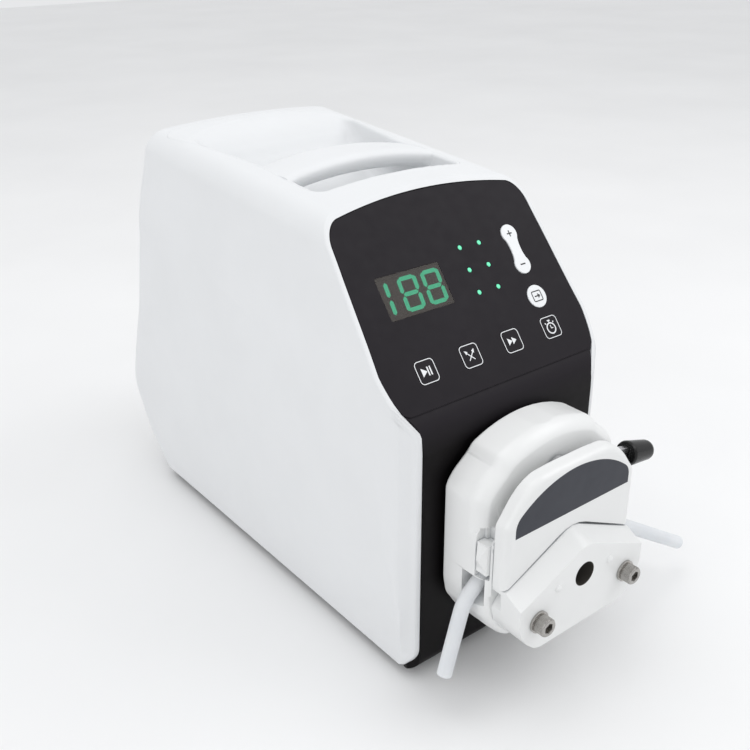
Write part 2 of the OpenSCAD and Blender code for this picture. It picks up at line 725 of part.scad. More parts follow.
// Places the lever's pieces at their rest angle about the cam shaft.
module on_lever() { translate([0, 0, lever_z]) rotate([0, lever_rest, 0]) children(); }
module lever_arm() {
    pump_frame() color([0.35, 0.35, 0.37]) on_lever() difference() {
        union() {
            rod_y(6.2, -34.6, -31.2);
            along_y(-34.6, -31.2) polygon([[1, 5], [58, 4], [58, -4], [1, -5]]);
        }
        rod_y(4, -36, -30);
    }
}
module lever_grip() {
    pump_frame() color([0.08, 0.08, 0.09]) on_lever() difference() {
        translate([54.6, -33, 0]) rotate([0, 90, 0]) rotate_extrude()
            polygon(concat([[0, 0], [6.4, 0], [6.9, 1.5], [6, 12.6]], arc([0.8, 16.4], 4.9, 8, 90, 5), [[0, 21.3]]));
        box([54, 58.05], [-34.65, -31.15], [-4.1, 4.1]);
    }
}
// Sliding clamp that holds the tube where it leaves the head.
module tube_clamp() {
    box([44.6, 49.6], [-34.9, -27.7], [9.4, 26.6]);
    box([41.8, 44.7], [-33.7, -28.9], [9.4, 26]);
    hull() {
        box([49.5, 49.7], [-34.4, -28.2], [12, 26]);
        box([52.4, 52.6], [-32.2, -30.4], [17.5, 20]);
    }
}
module left_tube_clamp() { pump_frame() color(white) mirror([1, 0, 0]) tube_clamp(); }
module right_tube_clamp() { pump_frame() color(white) tube_clamp(); }
module mounting_screws() {
    pump_frame() color(steel) for (s = [-1, 1]) translate([s * screw_x, 0, screw_z]) difference() {
        union() {
            rod_y(m6_r, front_face - 2, 8);
            rod_y(5, front_face - 7.4, front_face - 1.4);
        }
        translate([0, front_face - 4.4, 0]) rotate([90, 0, 0]) cylinder(r = 2.9, h = 4, $fn = 6);
    }
}
module screw_washers() {
    pump_frame() color(steel) for (s = [-1, 1]) translate([s * screw_x, 0, screw_z]) difference() {
        rod_y(6, front_face - 1.4, front_face);
        rod_y(m6_r + gap, front_face - 2, front_face + 1);
    }
}

// ------------------------------------------------------------------- tube
// The tube lies in the plane y = tube_y. It is pressed flat between the rollers
// and the track, opens out to round on each side, and hangs down outside the head.
wrap = 52;
flat_centre_r = track_r - gap / 2 - tube_flat / 2;
open_length = 18;
// Each free end: straight length, bend radius, bend angle (up is positive) in a
// number of steps, then a straight end with its bore open.
left_run = [24, 20, -36, 5, 36];
right_run = [24, 90, 5, 2, 84];
flat_steps = 6;
open_steps = 5;
ring_fn = 24;
collar = 1;
end_wall = 3;
mouth = 0.3;
skin = 0.06;

function turned(p, a) = [p[0] * cos(a) - p[1] * sin(a), p[0] * sin(a) + p[1] * cos(a)];
function bend_end(r, turn) = [r * sin(abs(turn)), sign(turn) * r * (1 - cos(turn))];
function ease(t) = t * t * (3 - 2 * t);
// Stations along one side of the tube: x, z, heading and how far it has opened.
function tube_line(run) = let (
    heading = wrap - 90,
    leave = flat_centre_r * [cos(wrap), sin(wrap)],
    bend = leave + turned([open_length + run[0], 0], heading),
    last = bend + turned(bend_end(run[1], run[2]), heading) + turned([collar, 0], heading + run[2])
) concat(
    [for (i = [0:flat_steps - 1]) let (a = 90 + heading * i / flat_steps)
        [flat_centre_r * cos(a), flat_centre_r * sin(a), a - 90, 0]],
    [for (i = [0:open_steps]) let (p = leave + turned([open_length * i / open_steps, 0], heading))
        [p[0], p[1], heading, ease(i / open_steps)]],
    [for (i = [0:run[3]]) let (t = run[2] * i / run[3], p = bend + turned(bend_end(run[1], t), heading))
        [p[0], p[1], heading + t, 1]],
    [[last[0], last[1], heading + run[2], 1]]
);
// One ring of the tube's outside: a flattened oval that opens to round.
function power(v, e) = sign(v) * pow(abs(v), e);
function tube_ring(s) = let (
    across = (1 - s[3]) * tube_flat_w / 2 + s[3] * (tube_od / 2 + skin),
    up = (1 - s[3]) * tube_flat / 2 + s[3] * (tube_od / 2 + skin),
    e = 0.5 + s[3] / 2
) [for (j = [0:ring_fn - 1]) let (a = 360 * j / ring_fn, v = up * power(sin(a), e))
    [s[0] - v * sin(s[2]), across * power(cos(a), e), s[1] + v * cos(s[2])]];
module swept(stations) {
    n = len(stations);
    polyhedron(
        points = [for (s = stations) each tube_ring(s)],
        faces = concat(
            [[for (j = [0:ring_fn - 1]) j]],
            [for (i = [0:n - 2], j = [0:ring_fn - 1], half = [0, 1])
                let (k = (j + 1) % ring_fn, a = i * ring_fn, b = a + ring_fn)
                half == 0 ? [a + j, b + j, b + k] : [a + j, b + k, a + k]],
            [[for (j = [ring_fn - 1:-1:0]) (n - 1) * ring_fn + j]]));
}
// The straight end of one side, with its bore.
module tube_end(run) {
    rotate([0, 90 - wrap, 0]) translate([open_length + run[0], 0, flat_centre_r])
        translate([bend_end(run[1], run[2])[0], 0, bend_end(run[1], run[2])[1]])
            rotate([0, -run[2], 0]) difference() {
                rod_x(tube_od / 2, collar / 2, run[4]);
                rod_x(tube_id / 2, end_wall, run[4] + 1);
                // Cone at the bore's blind end and a small chamfer at its mouth.
                translate([end_wall - 1, 0, 0]) rotate([0, 90, 0])
                    cylinder(r1 = 0.4, r2 = tube_id / 2 + 0.001, h = 1.0005);
                translate([run[4] - mouth, 0, 0]) rotate([0, 90, 0])
                    cylinder(r1 = tube_id / 2, r2 = tube_id / 2 + mouth, h = mouth + 0.001);
            }
}
module tube() {
    left = tube_line(left_run);
    pump_frame() color([0.86, 0.89, 0.9]) translate([0, tube_y, 0]) {
        swept(concat([for (i = [len(left) - 1:-1:1]) [-left[i][0], left[i][1], -left[i][2], left[i][3]]],
            tube_line(right_run)));
        tube_end(right_run);
        rotate([0, 0, 180]) tube_end(left_run);
    }
}

outer_shell();
handle_tray();
carry_handle();
front_bezel();
panel_film();
display_window();
digit_module();
digit_segments();
indicator_leds();
start_key();
direction_key();
prime_key();
timer_key();
mode_key();
speed_rocker();
key_switches();
display_board();
base_tray();
rubber_feet();
foot_screws();
motor_plate();
drive_motor();
drive_shaft();
control_board();
board_standoffs();
power_supply();
rear_panel();
power_inlet();
fuse_drawer();
switch_housing();
power_switch();
control_port();
adapter_plate();
head_body();
lower_block();
pressure_block();
occlusion_bed();
head_label();
rotor_shaft();
rotor_discs();
roller_pins();
roller_1();
roller_2();
roller_3();
shaft_bearings();
cam_shaft();
lever_arm();
lever_grip();
left_tube_clamp();
right_tube_clamp();
mounting_screws();
screw_washers();
tube();
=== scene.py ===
"""Benchtop peristaltic pump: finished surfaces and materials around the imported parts."""
import json
import math

import bmesh
import bpy
import numpy as np
from mathutils import Matrix, Vector


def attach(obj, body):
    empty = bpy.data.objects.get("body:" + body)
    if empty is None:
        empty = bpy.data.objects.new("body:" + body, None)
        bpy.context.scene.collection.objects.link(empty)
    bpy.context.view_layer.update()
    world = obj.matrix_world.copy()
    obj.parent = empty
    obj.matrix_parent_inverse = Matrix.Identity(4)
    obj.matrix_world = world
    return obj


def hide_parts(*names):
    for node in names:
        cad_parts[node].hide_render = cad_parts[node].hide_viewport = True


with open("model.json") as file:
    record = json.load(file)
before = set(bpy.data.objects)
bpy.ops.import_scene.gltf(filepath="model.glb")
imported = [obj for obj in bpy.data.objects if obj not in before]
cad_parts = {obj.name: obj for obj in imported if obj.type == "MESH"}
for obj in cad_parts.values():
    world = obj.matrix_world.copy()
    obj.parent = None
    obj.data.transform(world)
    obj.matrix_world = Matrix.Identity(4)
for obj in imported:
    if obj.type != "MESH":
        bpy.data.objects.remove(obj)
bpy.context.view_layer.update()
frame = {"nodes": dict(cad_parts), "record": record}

# Shapes are drawn in millimetres in the pump frame: y = 0 is the drive's lower
# front face and z = 0 is the shaft height. ORIGIN moves them to the shared frame.
ORIGIN = (0.0, -144.0, 74.0)
MM = 0.001
BENCH = -74.0
PANEL_FOOT = (5.9, 84.7)
PANEL_LEAN = math.radians(38.5)
PANEL_LENGTH = 115
WALL = 2.5
CROWN_R = 376.0
CROWN_HEIGHT = 174
CROWN_CORNER = 11.6
CROWN_LEAN = math.radians(4.3)
TUBE_Y = -26.1

NODE_BODY = {n: b for b, ns in frame["record"]["behaviour"]["bodies"].items() for n in ns}
NODE_SLOT = {s["node"]: s["material_slot"] for s in frame["record"]["subparts"]}
MATERIALS = {}


# ------------------------------------------------------------------ outlines
def arc(cx, cy, r, a0, a1, n):
    angles = np.radians(np.linspace(a0, a1, n + 1))
    return [(cx + r * math.cos(a), cy + r * math.sin(a)) for a in angles]


def curved(points, steps=6):
    """A smooth line through the points."""
    p = np.array([points[0]] + list(points) + [points[-1]], float)
    out = []
    for i in range(1, len(p) - 2):
        for k in range(steps):
            t = k / steps
            out.append(0.5 * (2 * p[i] + (p[i + 1] - p[i - 1]) * t
                              + (2 * p[i - 1] - 5 * p[i] + 4 * p[i + 1] - p[i + 2]) * t * t
                              + (3 * p[i] - p[i - 1] - 3 * p[i + 1] + p[i + 2]) * t ** 3))
    out.append(p[-2])
    return [tuple(q) for q in out]


def distance(u, v, outline):
    """Signed distance to a closed outline, negative inside."""
    pts = np.array(outline, float)
    nearest = np.full(u.shape, 1e9)
    inside = np.zeros(u.shape, bool)
    for (x0, y0), (x1, y1) in zip(pts, np.roll(pts, -1, 0)):
        dx, dy = x1 - x0, y1 - y0
        t = np.clip(((u - x0) * dx + (v - y0) * dy) / (dx * dx + dy * dy + 1e-12), 0, 1)
        nearest = np.minimum(nearest, (u - x0 - t * dx) ** 2 + (v - y0 - t * dy) ** 2)
        if y0 != y1:
            inside ^= ((y0 > v) != (y1 > v)) & (u < dx * (v - y0) / dy + x0)
    d = np.sqrt(nearest)
    return np.where(inside, -d, d)


def smooth(t):
    """Eases a share from 0 to 1 in and out."""
    return t * t * (3 - 2 * t)


def rounded_max(a, b, r):
    """Overlap of two solids whose shared edge is rounded to radius r."""
    return np.minimum(-r, np.maximum(a, b)) + np.hypot(np.maximum(a + r, 0), np.maximum(b + r, 0))


# Half width of the case against height: (z, half width).
WIDTH_LINE = curved([
    (-80, 66), (-68, 67.7), (-30, 70.9), (10, 73.4), (50, 74.8), (85, 75.1), (101, 74.6),
    (115, 73.2), (140, 71.2), (155, 69.9), (190, 67.9), (220, 62.5),
])


def front_flare():
    """The case's side seen from above, widening behind its narrow front: (half width, y)."""
    turns = [math.radians(18 * i) for i in range(6)]
    return curved([(66.5 + 8.6 * math.sin(q), 4 + 26 * (1 - math.cos(q))) for q in turns], 3)


# Half of the case seen from above, open far in front of it, behind it and across its middle.
PLAN_LINE = (
    [(-300, -60), (63.5, -60), (63.5, 0)]
    + front_flare()
    + [(75.1, 110), (74.2, 160), (72.6, 210), (72.6, 500), (-300, 500)]
)
PANEL_TOP = (
    PANEL_FOOT[0] + PANEL_LENGTH * math.sin(PANEL_LEAN),
    PANEL_FOOT[1] + PANEL_LENGTH * math.cos(PANEL_LEAN),
)
# The case's front and rear seen from the side: (y, z).
FRONT_LINE = (
    arc(14.6, -54, 14, 270, 180, 12)
    + [(0.6, 66), (0.9, 71), (1.2, 75.4), (2.9, 80.2), PANEL_FOOT, PANEL_TOP, (120, 228)]
)
REAR_BULGE = [
    (262.4, 164.8), (277, 135), (288, 99), (298, 61), (307, 38), (315, 16),
    (319, 2), (320, -10), (317, -24), (310, -37), (299, -50), (286, -60),
]
REAR_LINE = arc(246.5, 177.5, 9, 75, 12, 8) + curved(REAR_BULGE, 4) + arc(272, -56, 12, -40, -90, 6)
SIDE_LINE = [(-400, -68), (-400, 192), (80, 192), (232, 192)] + REAR_LINE


def crown_height(x, y):
    return CROWN_HEIGHT + math.tan(CROWN_LEAN) * (y - 75) - x * x / (2 * CROWN_R)


def half_width(z):
    z_line, w_line = zip(*WIDTH_LINE)
    return np.interp(z, z_line, w_line)


def core(x, y, z):
    """The case between its side walls and under its crowned top."""
    across = np.abs(x)
    side = np.maximum(across - half_width(z), distance(across, y, PLAN_LINE))
    top = (z - crown_height(x, y)) * math.cos(CROWN_LEAN)
    return rounded_max(side, top, CROWN_CORNER)


def case(x, y, z):
    """The whole case behind its front edge. Its rear edge is rounded most at mid height."""
    rearward = np.clip((y - 150) / 80, 0, 1)
    lift = np.clip((z + 66) / 40, 0, 1)
    crest = 1 - 0.72 * np.clip((z - 110) / 60, 0, 1)
    radius = 1.5 + 17.5 * smooth(rearward) * lift * crest
    return rounded_max(core(x, y, z), distance(y, z, SIDE_LINE), radius)


def front_at(z):
    y_line, z_line = zip(*FRONT_LINE)
    return np.interp(z, z_line, y_line)


# -------------------------------------------------------------- mesh helpers
def place(points):
    return (np.asarray(points, float) + np.array(ORIGIN)) * MM


def on_panel(points):
    """Points of the panel's own frame (across, up the slope, out of it) to the pump frame."""
    p = np.asarray(points, float)
    c, s = math.sin(PANEL_LEAN), math.cos(PANEL_LEAN)
    return np.stack([p[:, 0], PANEL_FOOT[0] + p[:, 1] * c - p[:, 2] * s,
                     PANEL_FOOT[1] + p[:, 1] * s + p[:, 2] * c], 1)


def new_object(name, points, faces):
    mesh = bpy.data.meshes.new(name)
    mesh.from_pydata([tuple(p) for p in place(points)], [], [tuple(f) for f in faces])
    bm = bmesh.new()
    bm.from_mesh(mesh)
    bmesh.ops.remove_doubles(bm, verts=bm.verts, dist=1e-7)
    bmesh.ops.recalc_face_normals(bm, faces=bm.faces)
    bm.to_mesh(mesh)
    bm.free()
    obj = bpy.data.objects.new(name, mesh)
    bpy.context.scene.collection.objects.link(obj)
    return obj


def grid_faces(rows, cols):
    """Quads between closed rows of points."""
    faces = []
    for r in range(rows - 1):
        for c in range(cols):
            a = r * cols + c
            b = r * cols + (c + 1) % cols
            faces.append((a, b, b + cols, a + cols))
    return faces


def loft(name, rings, caps=True):
    """A solid skinned over closed rings of equal length."""
    rings = [np.asarray(r, float) for r in rings]
    n = len(rings[0])
    faces = grid_faces(len(rings), n)
    if caps:
        faces.append(tuple(range(n))[::-1])
        faces.append(tuple(range(n * (len(rings) - 1), n * len(rings))))
    return new_object(name, np.concatenate(rings), faces)


def box_solid(name, x, y, z):
    ring = [(x[0], y[0]), (x[1], y[0]), (x[1], y[1]), (x[0], y[1])]
    return loft(name, [[(a, b, h) for a, b in ring] for h in z])


def across_x(name, outline, half):
    return loft(name, [[(x, y, z) for y, z in outline] for x in (-half, half)])


def panel_prism(name, outline, low, high, bevel=0.0, n=3):
    """A plate on the panel's slope; its top edge is rounded by bevel."""
    flat = np.asarray(outline, float)
    rings = [(0.0, low)]
    if bevel:
        rings += [(bevel * (1 - math.cos(a)), high - bevel + bevel * math.sin(a))
                  for a in np.linspace(0, math.pi / 2, n + 1)]
    else:
        rings += [(0.0, high)]
    made = []
    for t, w in rings:
        p = inset(flat, t) if t else flat
        made.append(on_panel(np.column_stack([p, np.full(len(p), w)])))
    return loft(name, made)


def inset(outline, t):
    """A closed outline moved inwards by t."""
    p = np.asarray(outline, float)
    area = np.sum(p[:, 0] * np.roll(p[:, 1], -1) - np.roll(p[:, 0], -1) * p[:, 1])
    d = np.roll(p, -1, 0) - p
    n = np.stack([-d[:, 1], d[:, 0]], 1) / (np.linalg.norm(d, axis=1)[:, None] + 1e-12)
    n *= 1 if area > 0 else -1
    m = n + np.roll(n, 1, 0)
    m = 2 * m / (np.sum(m * m, 1)[:, None] + 1e-9)
    return p + t * m


def even(outline, gap, rounds):
    """A closed outline redrawn with evenly spaced points, its corners eased in rounds."""
    p = np.asarray(outline, float)
    p = np.vstack([p, p[:1]])
    run = np.concatenate([[0], np.cumsum(np.linalg.norm(np.diff(p, axis=0), axis=1))])
    at = np.linspace(0, run[-1], int(run[-1] / gap), endpoint=False)
    q = np.stack([np.interp(at, run, p[:, k]) for k in (0, 1)], 1)
    for _ in range(rounds):
        q = (np.roll(q, 1, 0) + 2 * q + np.roll(q, -1, 0)) / 4
    return q


def round_box(w, h, r, n=6):
    out = []
    for cx, cy, a in ((w / 2 - r, h / 2 - r, 0), (r - w / 2, h / 2 - r, 90),
                      (r - w / 2, r - h / 2, 180), (w / 2 - r, r - h / 2, 270)):
        out += arc(cx, cy, r, a, a + 90, n)
    return np.array(out)


def circle(r, n=40):
    return np.array(arc(0, 0, r, 0, 360 - 360 / n, n - 1))


def boolean(obj, cutters, operation="DIFFERENCE"):
    """Cuts obj with other meshes, keeps the result and removes the cutters."""
    for cutter in cutters if isinstance(cutters, list) else [cutters]:
        m = obj.modifiers.new("cut", "BOOLEAN")
        m.operation = operation
        m.solver = "MANIFOLD"
        m.object = cutter
    bake(obj)
    for cutter in cutters if isinstance(cutters, list) else [cutters]:
        bpy.data.objects.remove(cutter)
    return obj


def bake(obj):
    bpy.context.view_layer.update()
    deps = bpy.context.evaluated_depsgraph_get()
    mesh = bpy.data.meshes.new_from_object(obj.evaluated_get(deps))
    obj.modifiers.clear()
    obj.data = mesh
    return obj


def soften(obj, width=0.0, segments=3, angle=35, smooth_angle=40):
    """Rounds the hard edges and shades the rest smoothly."""
    obj.data.polygons.foreach_set("use_smooth", [True] * len(obj.data.polygons))
    if width:
        b = obj.modifiers.new("edges", "BEVEL")
        b.width = width * MM
        b.segments = segments
        b.limit_method = "ANGLE"
        b.angle_limit = math.radians(angle)
        bake(obj)
    obj.data.set_sharp_from_angle(angle=math.radians(smooth_angle))
    w = obj.modifiers.new("normals", "WEIGHTED_NORMAL")
    w.keep_sharp = True
    w.weight = 80
    return obj


def piece(obj, node):
    """Puts a finished piece in the place of a CAD node."""
    obj.data.materials.clear()
    obj.data.materials.append(MATERIALS[NODE_SLOT[node]])
    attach(obj, NODE_BODY[node])
    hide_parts(node)
    return obj


def trim(obj, body, slot):
    """A finished detail that stands for no CAD node of its own."""
    obj.data.materials.clear()
    obj.data.materials.append(MATERIALS[slot])
    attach(obj, body)
    return obj


def refined(node, name, width):
    """The CAD node's own shape with its hard edges rounded."""
    bm = bmesh.new()
    bm.from_mesh(frame["nodes"][node].data)
    bmesh.ops.remove_doubles(bm, verts=bm.verts, dist=2e-6)
    bmesh.ops.dissolve_limit(bm, angle_limit=math.radians(0.6), verts=bm.verts, edges=bm.edges)
    mesh = bpy.data.meshes.new(name)
    bm.to_mesh(mesh)
    bm.free()
    obj = bpy.data.objects.new(name, mesh)
    bpy.context.scene.collection.objects.link(obj)
    soften(obj, width)
    return piece(obj, node)


# ----------------------------------------------------------------- materials
class Shader:
    """A node tree with short calls for the nodes used here."""

    def __init__(self, name):
        self.material = bpy.data.materials.new(name)
        self.material.use_nodes = True
        self.tree = self.material.node_tree
        self.surface = self.tree.nodes["Principled BSDF"]
        coordinates = self.tree.nodes.new("ShaderNodeTexCoord")
        self.place = coordinates.outputs["Object"]

    def link(self, a, b):
        self.tree.links.new(a, b)

    def noise(self, scale, detail=3.0, rough=0.55, stretch=None):
        n = self.tree.nodes.new("ShaderNodeTexNoise")
        n.inputs["Scale"].default_value = scale
        n.inputs["Detail"].default_value = detail
        n.inputs["Roughness"].default_value = rough
        source = self.place
        if stretch:
            m = self.tree.nodes.new("ShaderNodeMapping")
            m.inputs["Scale"].default_value = stretch
            self.link(source, m.inputs["Vector"])
            source = m.outputs["Vector"]
        self.link(source, n.inputs["Vector"])
        return n.outputs["Fac"]

    def span(self, value, low, high, from_low=0.3, from_high=0.7):
        m = self.tree.nodes.new("ShaderNodeMapRange")
        m.inputs["From Min"].default_value = from_low
        m.inputs["From Max"].default_value = from_high
        m.inputs["To Min"].default_value = low
        m.inputs["To Max"].default_value = high
        self.link(value, m.inputs["Value"])
        return m.outputs["Result"]

    def mix(self, factor, a, b, blend="MIX"):
        m = self.tree.nodes.new("ShaderNodeMix")
        m.data_type = "RGBA"
        m.blend_type = blend
        for value, key in ((a, 6), (b, 7)):
            if hasattr(value, "links"):
                self.link(value, m.inputs[key])
            else:
                m.inputs[key].default_value = (*value, 1)
        if hasattr(factor, "links"):
            self.link(factor, m.inputs[0])
        else:
            m.inputs[0].default_value = factor
        return m.outputs[2]

    def bump(self, heights):
        """heights: (value, strength, distance in mm), added one on another."""
        last = None
        for value, strength, depth in heights:
            b = self.tree.nodes.new("ShaderNodeBump")
            b.inputs["Strength"].default_value = strength
            b.inputs["Distance"].default_value = depth * MM
            self.link(value, b.inputs["Height"])
            if last is not None:
                self.link(last, b.inputs["Normal"])
            last = b.outputs["Normal"]
        self.link(last, self.surface.inputs["Normal"])

    def set(self, key, value):
        if hasattr(value, "links"):
            self.link(value, self.surface.inputs[key])
        else:
            self.surface.inputs[key].default_value = value


# Tint of the painted shade in crevices and recesses.
CREVICE_SHADE_TINT = (0.86, 0.88, 0.9)
FILM_COLOUR = (0.018, 0.0155, 0.019)


def moulded(slot, colour, rough, grain, depth, shade=0.96, coat=0.0, crevice=0.9, sheen=0.5,
            patch=None):
    """Injection-moulded plastic: fine spark texture, slight mottling, painted shade darkening its crevices.
    """
    s = Shader(slot)
    broad = s.noise(22, 3)
    fine = s.noise(grain, 2, 0.6)
    dark = tuple(c * shade for c in colour)
    tone = s.mix(s.span(broad, 0, 1), dark, colour)
    # Painted shade: an ambient-occlusion mask darkens the colour in crevices and recesses.
    ao = s.tree.nodes.new("ShaderNodeAmbientOcclusion")
    ao.samples = 4
    ao.inputs["Distance"].default_value = 5 * MM
    tint = tuple(c * crevice for c in CREVICE_SHADE_TINT)
    crevice_shade = s.mix(s.span(ao.outputs["AO"], 0, 1, 0.15, 0.75), tint, (1, 1, 1))
    tone = s.mix(1.0, tone, crevice_shade, "MULTIPLY")
    if patch:
        tone = patch(s, tone)
    s.set("Base Color", tone)
    s.set("Roughness", s.span(s.noise(160, 4), rough - 0.05, rough + 0.06))
    s.set("Specular IOR Level", sheen)
    s.set("Coat Weight", coat)
    s.set("Coat Roughness", 0.18)
    s.bump([(fine, 0.35, depth), (s.noise(60, 2), 0.1, 0.04)])
    return s.material


def lip_light_and_recess_shade(s, tone):
    """Painted light and shade: the black front is painted in the film's lighter tone just under the panel
    and fades to near black lower down, as the shade of the recess.
    """
    height = s.tree.nodes.new("ShaderNodeSeparateXYZ")
    s.link(s.place, height.inputs[0])
    near = s.span(height.outputs["Z"], 0, 1, 0.138, 0.153)
    return s.mix(near, tone, FILM_COLOUR)


def shaded_bore(s, tone):
    """Painted shade: the wall of the head's front bore is painted dark; the maths works in metres."""
    axis = s.tree.nodes.new("ShaderNodeVectorMath")
    axis.operation = "MULTIPLY_ADD"
    axis.inputs[1].default_value = (1, 0, 1)
    axis.inputs[2].default_value = (0, 0, -0.074)
    s.link(s.place, axis.inputs[0])
    reach = s.tree.nodes.new("ShaderNodeVectorMath")
    reach.operation = "LENGTH"
    s.link(axis.outputs[0], reach.inputs[0])
    inside = s.span(reach.outputs["Value"], 1, 0, 0.00685, 0.00695)
    return s.mix(inside, tone, (0.055, 0.05, 0.045))


def metal(slot, colour, rough, stretch, scale, depth):
    """Machined or plated metal with fine tool marks and a little tarnish."""
    s = Shader(slot)
    marks = s.noise(scale, 4, 0.65, stretch)
    stain = s.noise(90, 4, 0.6)
    s.set("Base Color", s.mix(s.span(stain, 0, 1), tuple(c * 0.82 for c in colour), colour))
    s.set("Metallic", 1.0)
    s.set("Roughness", s.span(marks, rough * 0.7, rough * 1.35))
    s.bump([(marks, 0.4, depth)])
    return s.material


def lit(slot, colour, strength):
    """A lamp or figure that glows, its tone varying a little at random."""
    s = Shader(slot)
    glow = s.noise(500, 2)
    tone = s.mix(s.span(glow, 0, 1), tuple(c * 0.88 for c in colour), colour)
    s.set("Base Color", tone)
    s.set("Emission Color", tone)
    s.set("Emission Strength", strength)
    s.set("Roughness", s.span(s.noise(900, 2), 0.35, 0.5))
    s.bump([(glow, 0.15, 0.01)])
    return s.material


def see_through(s, share, tint):
    """Lets a share of the light straight through the surface."""
    clear = s.tree.nodes.new("ShaderNodeBsdfTransparent")
    clear.inputs["Color"].default_value = (*tint, 1)
    both = s.tree.nodes.new("ShaderNodeMixShader")
    both.inputs[0].default_value = share
    s.link(s.surface.outputs[0], both.inputs[1])
    s.link(clear.outputs[0], both.inputs[2])
    s.link(both.outputs[0], s.tree.nodes["Material Output"].inputs["Surface"])


def window_glass(slot):
    """Smoked window: a glossy face that lets the figures behind it show."""
    s = Shader(slot)
    smoke = s.noise(300, 2)
    s.set("Base Color", s.mix(s.span(smoke, 0, 1), (0.064, 0.056, 0.05), (0.076, 0.067, 0.06)))
    s.set("Roughness", s.span(s.noise(700, 3), 0.2, 0.3))
    s.set("Specular IOR Level", 0.25)
    s.bump([(s.noise(1500, 2), 0.05, 0.01)])
    see_through(s, 0.45, (0.88, 0.86, 0.85))
    return s.material


def silicone(slot):
    """Translucent tube wall: a soft milky sheen that lets part of the light straight through."""
    s = Shader(slot)
    milk = s.noise(60, 3)
    s.set("Base Color", s.mix(s.span(milk, 0, 1), (0.86, 0.88, 0.9), (0.93, 0.94, 0.945)))
    s.set("Roughness", s.span(s.noise(300, 3), 0.34, 0.42))
    s.bump([(s.noise(150, 2), 0.05, 0.01)])
    see_through(s, 0.24, (0.9, 0.93, 0.98))
    return s.material


def make_materials():
    """One material for each slot: colour, roughness, grain and depth of its texture."""
    plastics = {
        "white_shell": ((0.80, 0.81, 0.82), 0.46, 2200, 0.03, dict(shade=0.975)),
        # The white head carries painted shade in its front bore.
        "white_head": ((0.83, 0.835, 0.83), 0.34, 2800, 0.012,
                       dict(shade=0.975, coat=0.15, patch=shaded_bore)),
        "white_key": ((0.80, 0.815, 0.83), 0.3, 1800, 0.01, dict(shade=0.97, coat=0.3)),
        # The black front carries painted light on its lip and painted shade below it.
        "black_front": ((0.0055, 0.0045, 0.005), 0.4, 2400, 0.012,
                        dict(shade=0.8, crevice=0.8, sheen=0.1, patch=lip_light_and_recess_shade)),
        "panel_film": (FILM_COLOUR, 0.42, 3000, 0.02, dict(shade=0.86, crevice=0.85, sheen=0.1)),
        "dark_module": ((0.085, 0.075, 0.068), 0.45, 1500, 0.02, dict(shade=0.85)),
        "circuit_board": ((0.02, 0.11, 0.05), 0.3, 900, 0.02, dict(shade=0.7, coat=0.3)),
        "black_base": ((0.018, 0.018, 0.019), 0.55, 1400, 0.05, dict(shade=0.8)),
        "foot_rubber": ((0.022, 0.021, 0.021), 0.75, 1100, 0.06, dict(shade=0.8)),
        "motor_black": ((0.016, 0.016, 0.018), 0.4, 700, 0.04, dict(shade=0.8, coat=0.2)),
        "rear_black": ((0.02, 0.02, 0.022), 0.5, 1500, 0.04, dict(shade=0.8)),
        "adapter_dark": ((0.03, 0.03, 0.032), 0.5, 1500, 0.03, dict(shade=0.8)),
        "bed_plastic": ((0.6, 0.62, 0.63), 0.35, 2000, 0.015, {}),
        "label_slate": ((0.04, 0.043, 0.055), 0.38, 3200, 0.01, dict(shade=0.88, sheen=0.25)),
        "lever_black": ((0.006, 0.006, 0.006), 0.24, 1800, 0.012, dict(shade=0.8, sheen=0.3)),
    }
    metals = {
        "steel": ((0.56, 0.56, 0.57), 0.28, (1, 8, 1), 700, 0.006),
        "zinc_steel": ((0.6, 0.62, 0.64), 0.38, (1, 1, 1), 160, 0.01),
        "brass": ((0.66, 0.48, 0.2), 0.26, (1, 1, 6), 600, 0.006),
        "supply_case": ((0.62, 0.63, 0.65), 0.42, (6, 1, 1), 400, 0.01),
        "roller_steel": ((0.7, 0.7, 0.71), 0.14, (1, 12, 1), 900, 0.003),
        "screw_nickel": ((0.46, 0.445, 0.425), 0.24, (1, 10, 1), 800, 0.005),
    }
    for slot, (colour, rough, grain, depth, more) in plastics.items():
        MATERIALS[slot] = moulded(slot, colour, rough, grain, depth, **more)
    for slot, values in metals.items():
        MATERIALS[slot] = metal(slot, *values)
    MATERIALS["window"] = window_glass("window")
    MATERIALS["digit_green"] = lit("digit_green", (0.03, 0.7, 0.38), 3.2)
    MATERIALS["lamp_green"] = lit("lamp_green", (0.13, 0.68, 0.4), 0.5)
    MATERIALS["clear_tube"] = silicone("clear_tube")


# --------------------------------------------------------------- drive unit
def ray_hits(shape, start, direction, t=0.0, reach=420.0):
    """Where rays from inside cross a shape grown by -t; each step halves the span."""
    low, high = np.zeros(len(start)), np.full(len(start), reach)
    for _ in range(24):
        mid = (low + high) / 2
        p = start + direction * mid[:, None]
        outside = shape(p[:, 0], p[:, 1], p[:, 2]) + t > 0
        high = np.where(outside, mid, high)
        low = np.where(outside, low, mid)
    return start + direction * low[:, None]


def section_angles(step=2.2):
    """Directions from the shaft line that space points evenly round the case."""
    a = np.linspace(-math.pi, math.pi, 1440, endpoint=False)
    start = np.tile([0.0, 150.0, 0.0], (len(a), 1))
    ring = ray_hits(case, start, np.stack([np.sin(a), 0 * a, np.cos(a)], 1))
    edge = np.linalg.norm(np.roll(ring, -1, 0) - ring, axis=1)
    turn = np.arctan2(*(np.roll(ring, -1, 0) - ring)[:, [2, 0]].T)
    bend = np.abs((np.roll(turn, -1) - turn + math.pi) % (2 * math.pi) - math.pi)
    cost = np.concatenate([[0], np.cumsum(edge / step + bend * 9)])
    n = int(cost[-1])
    return np.interp(np.linspace(0, cost[-1], n, endpoint=False), cost, np.append(a, math.pi))


def bottomed(x, y, z):
    """The case's core, closed below."""
    return rounded_max(core(x, y, z), -68 - z, 3.0)


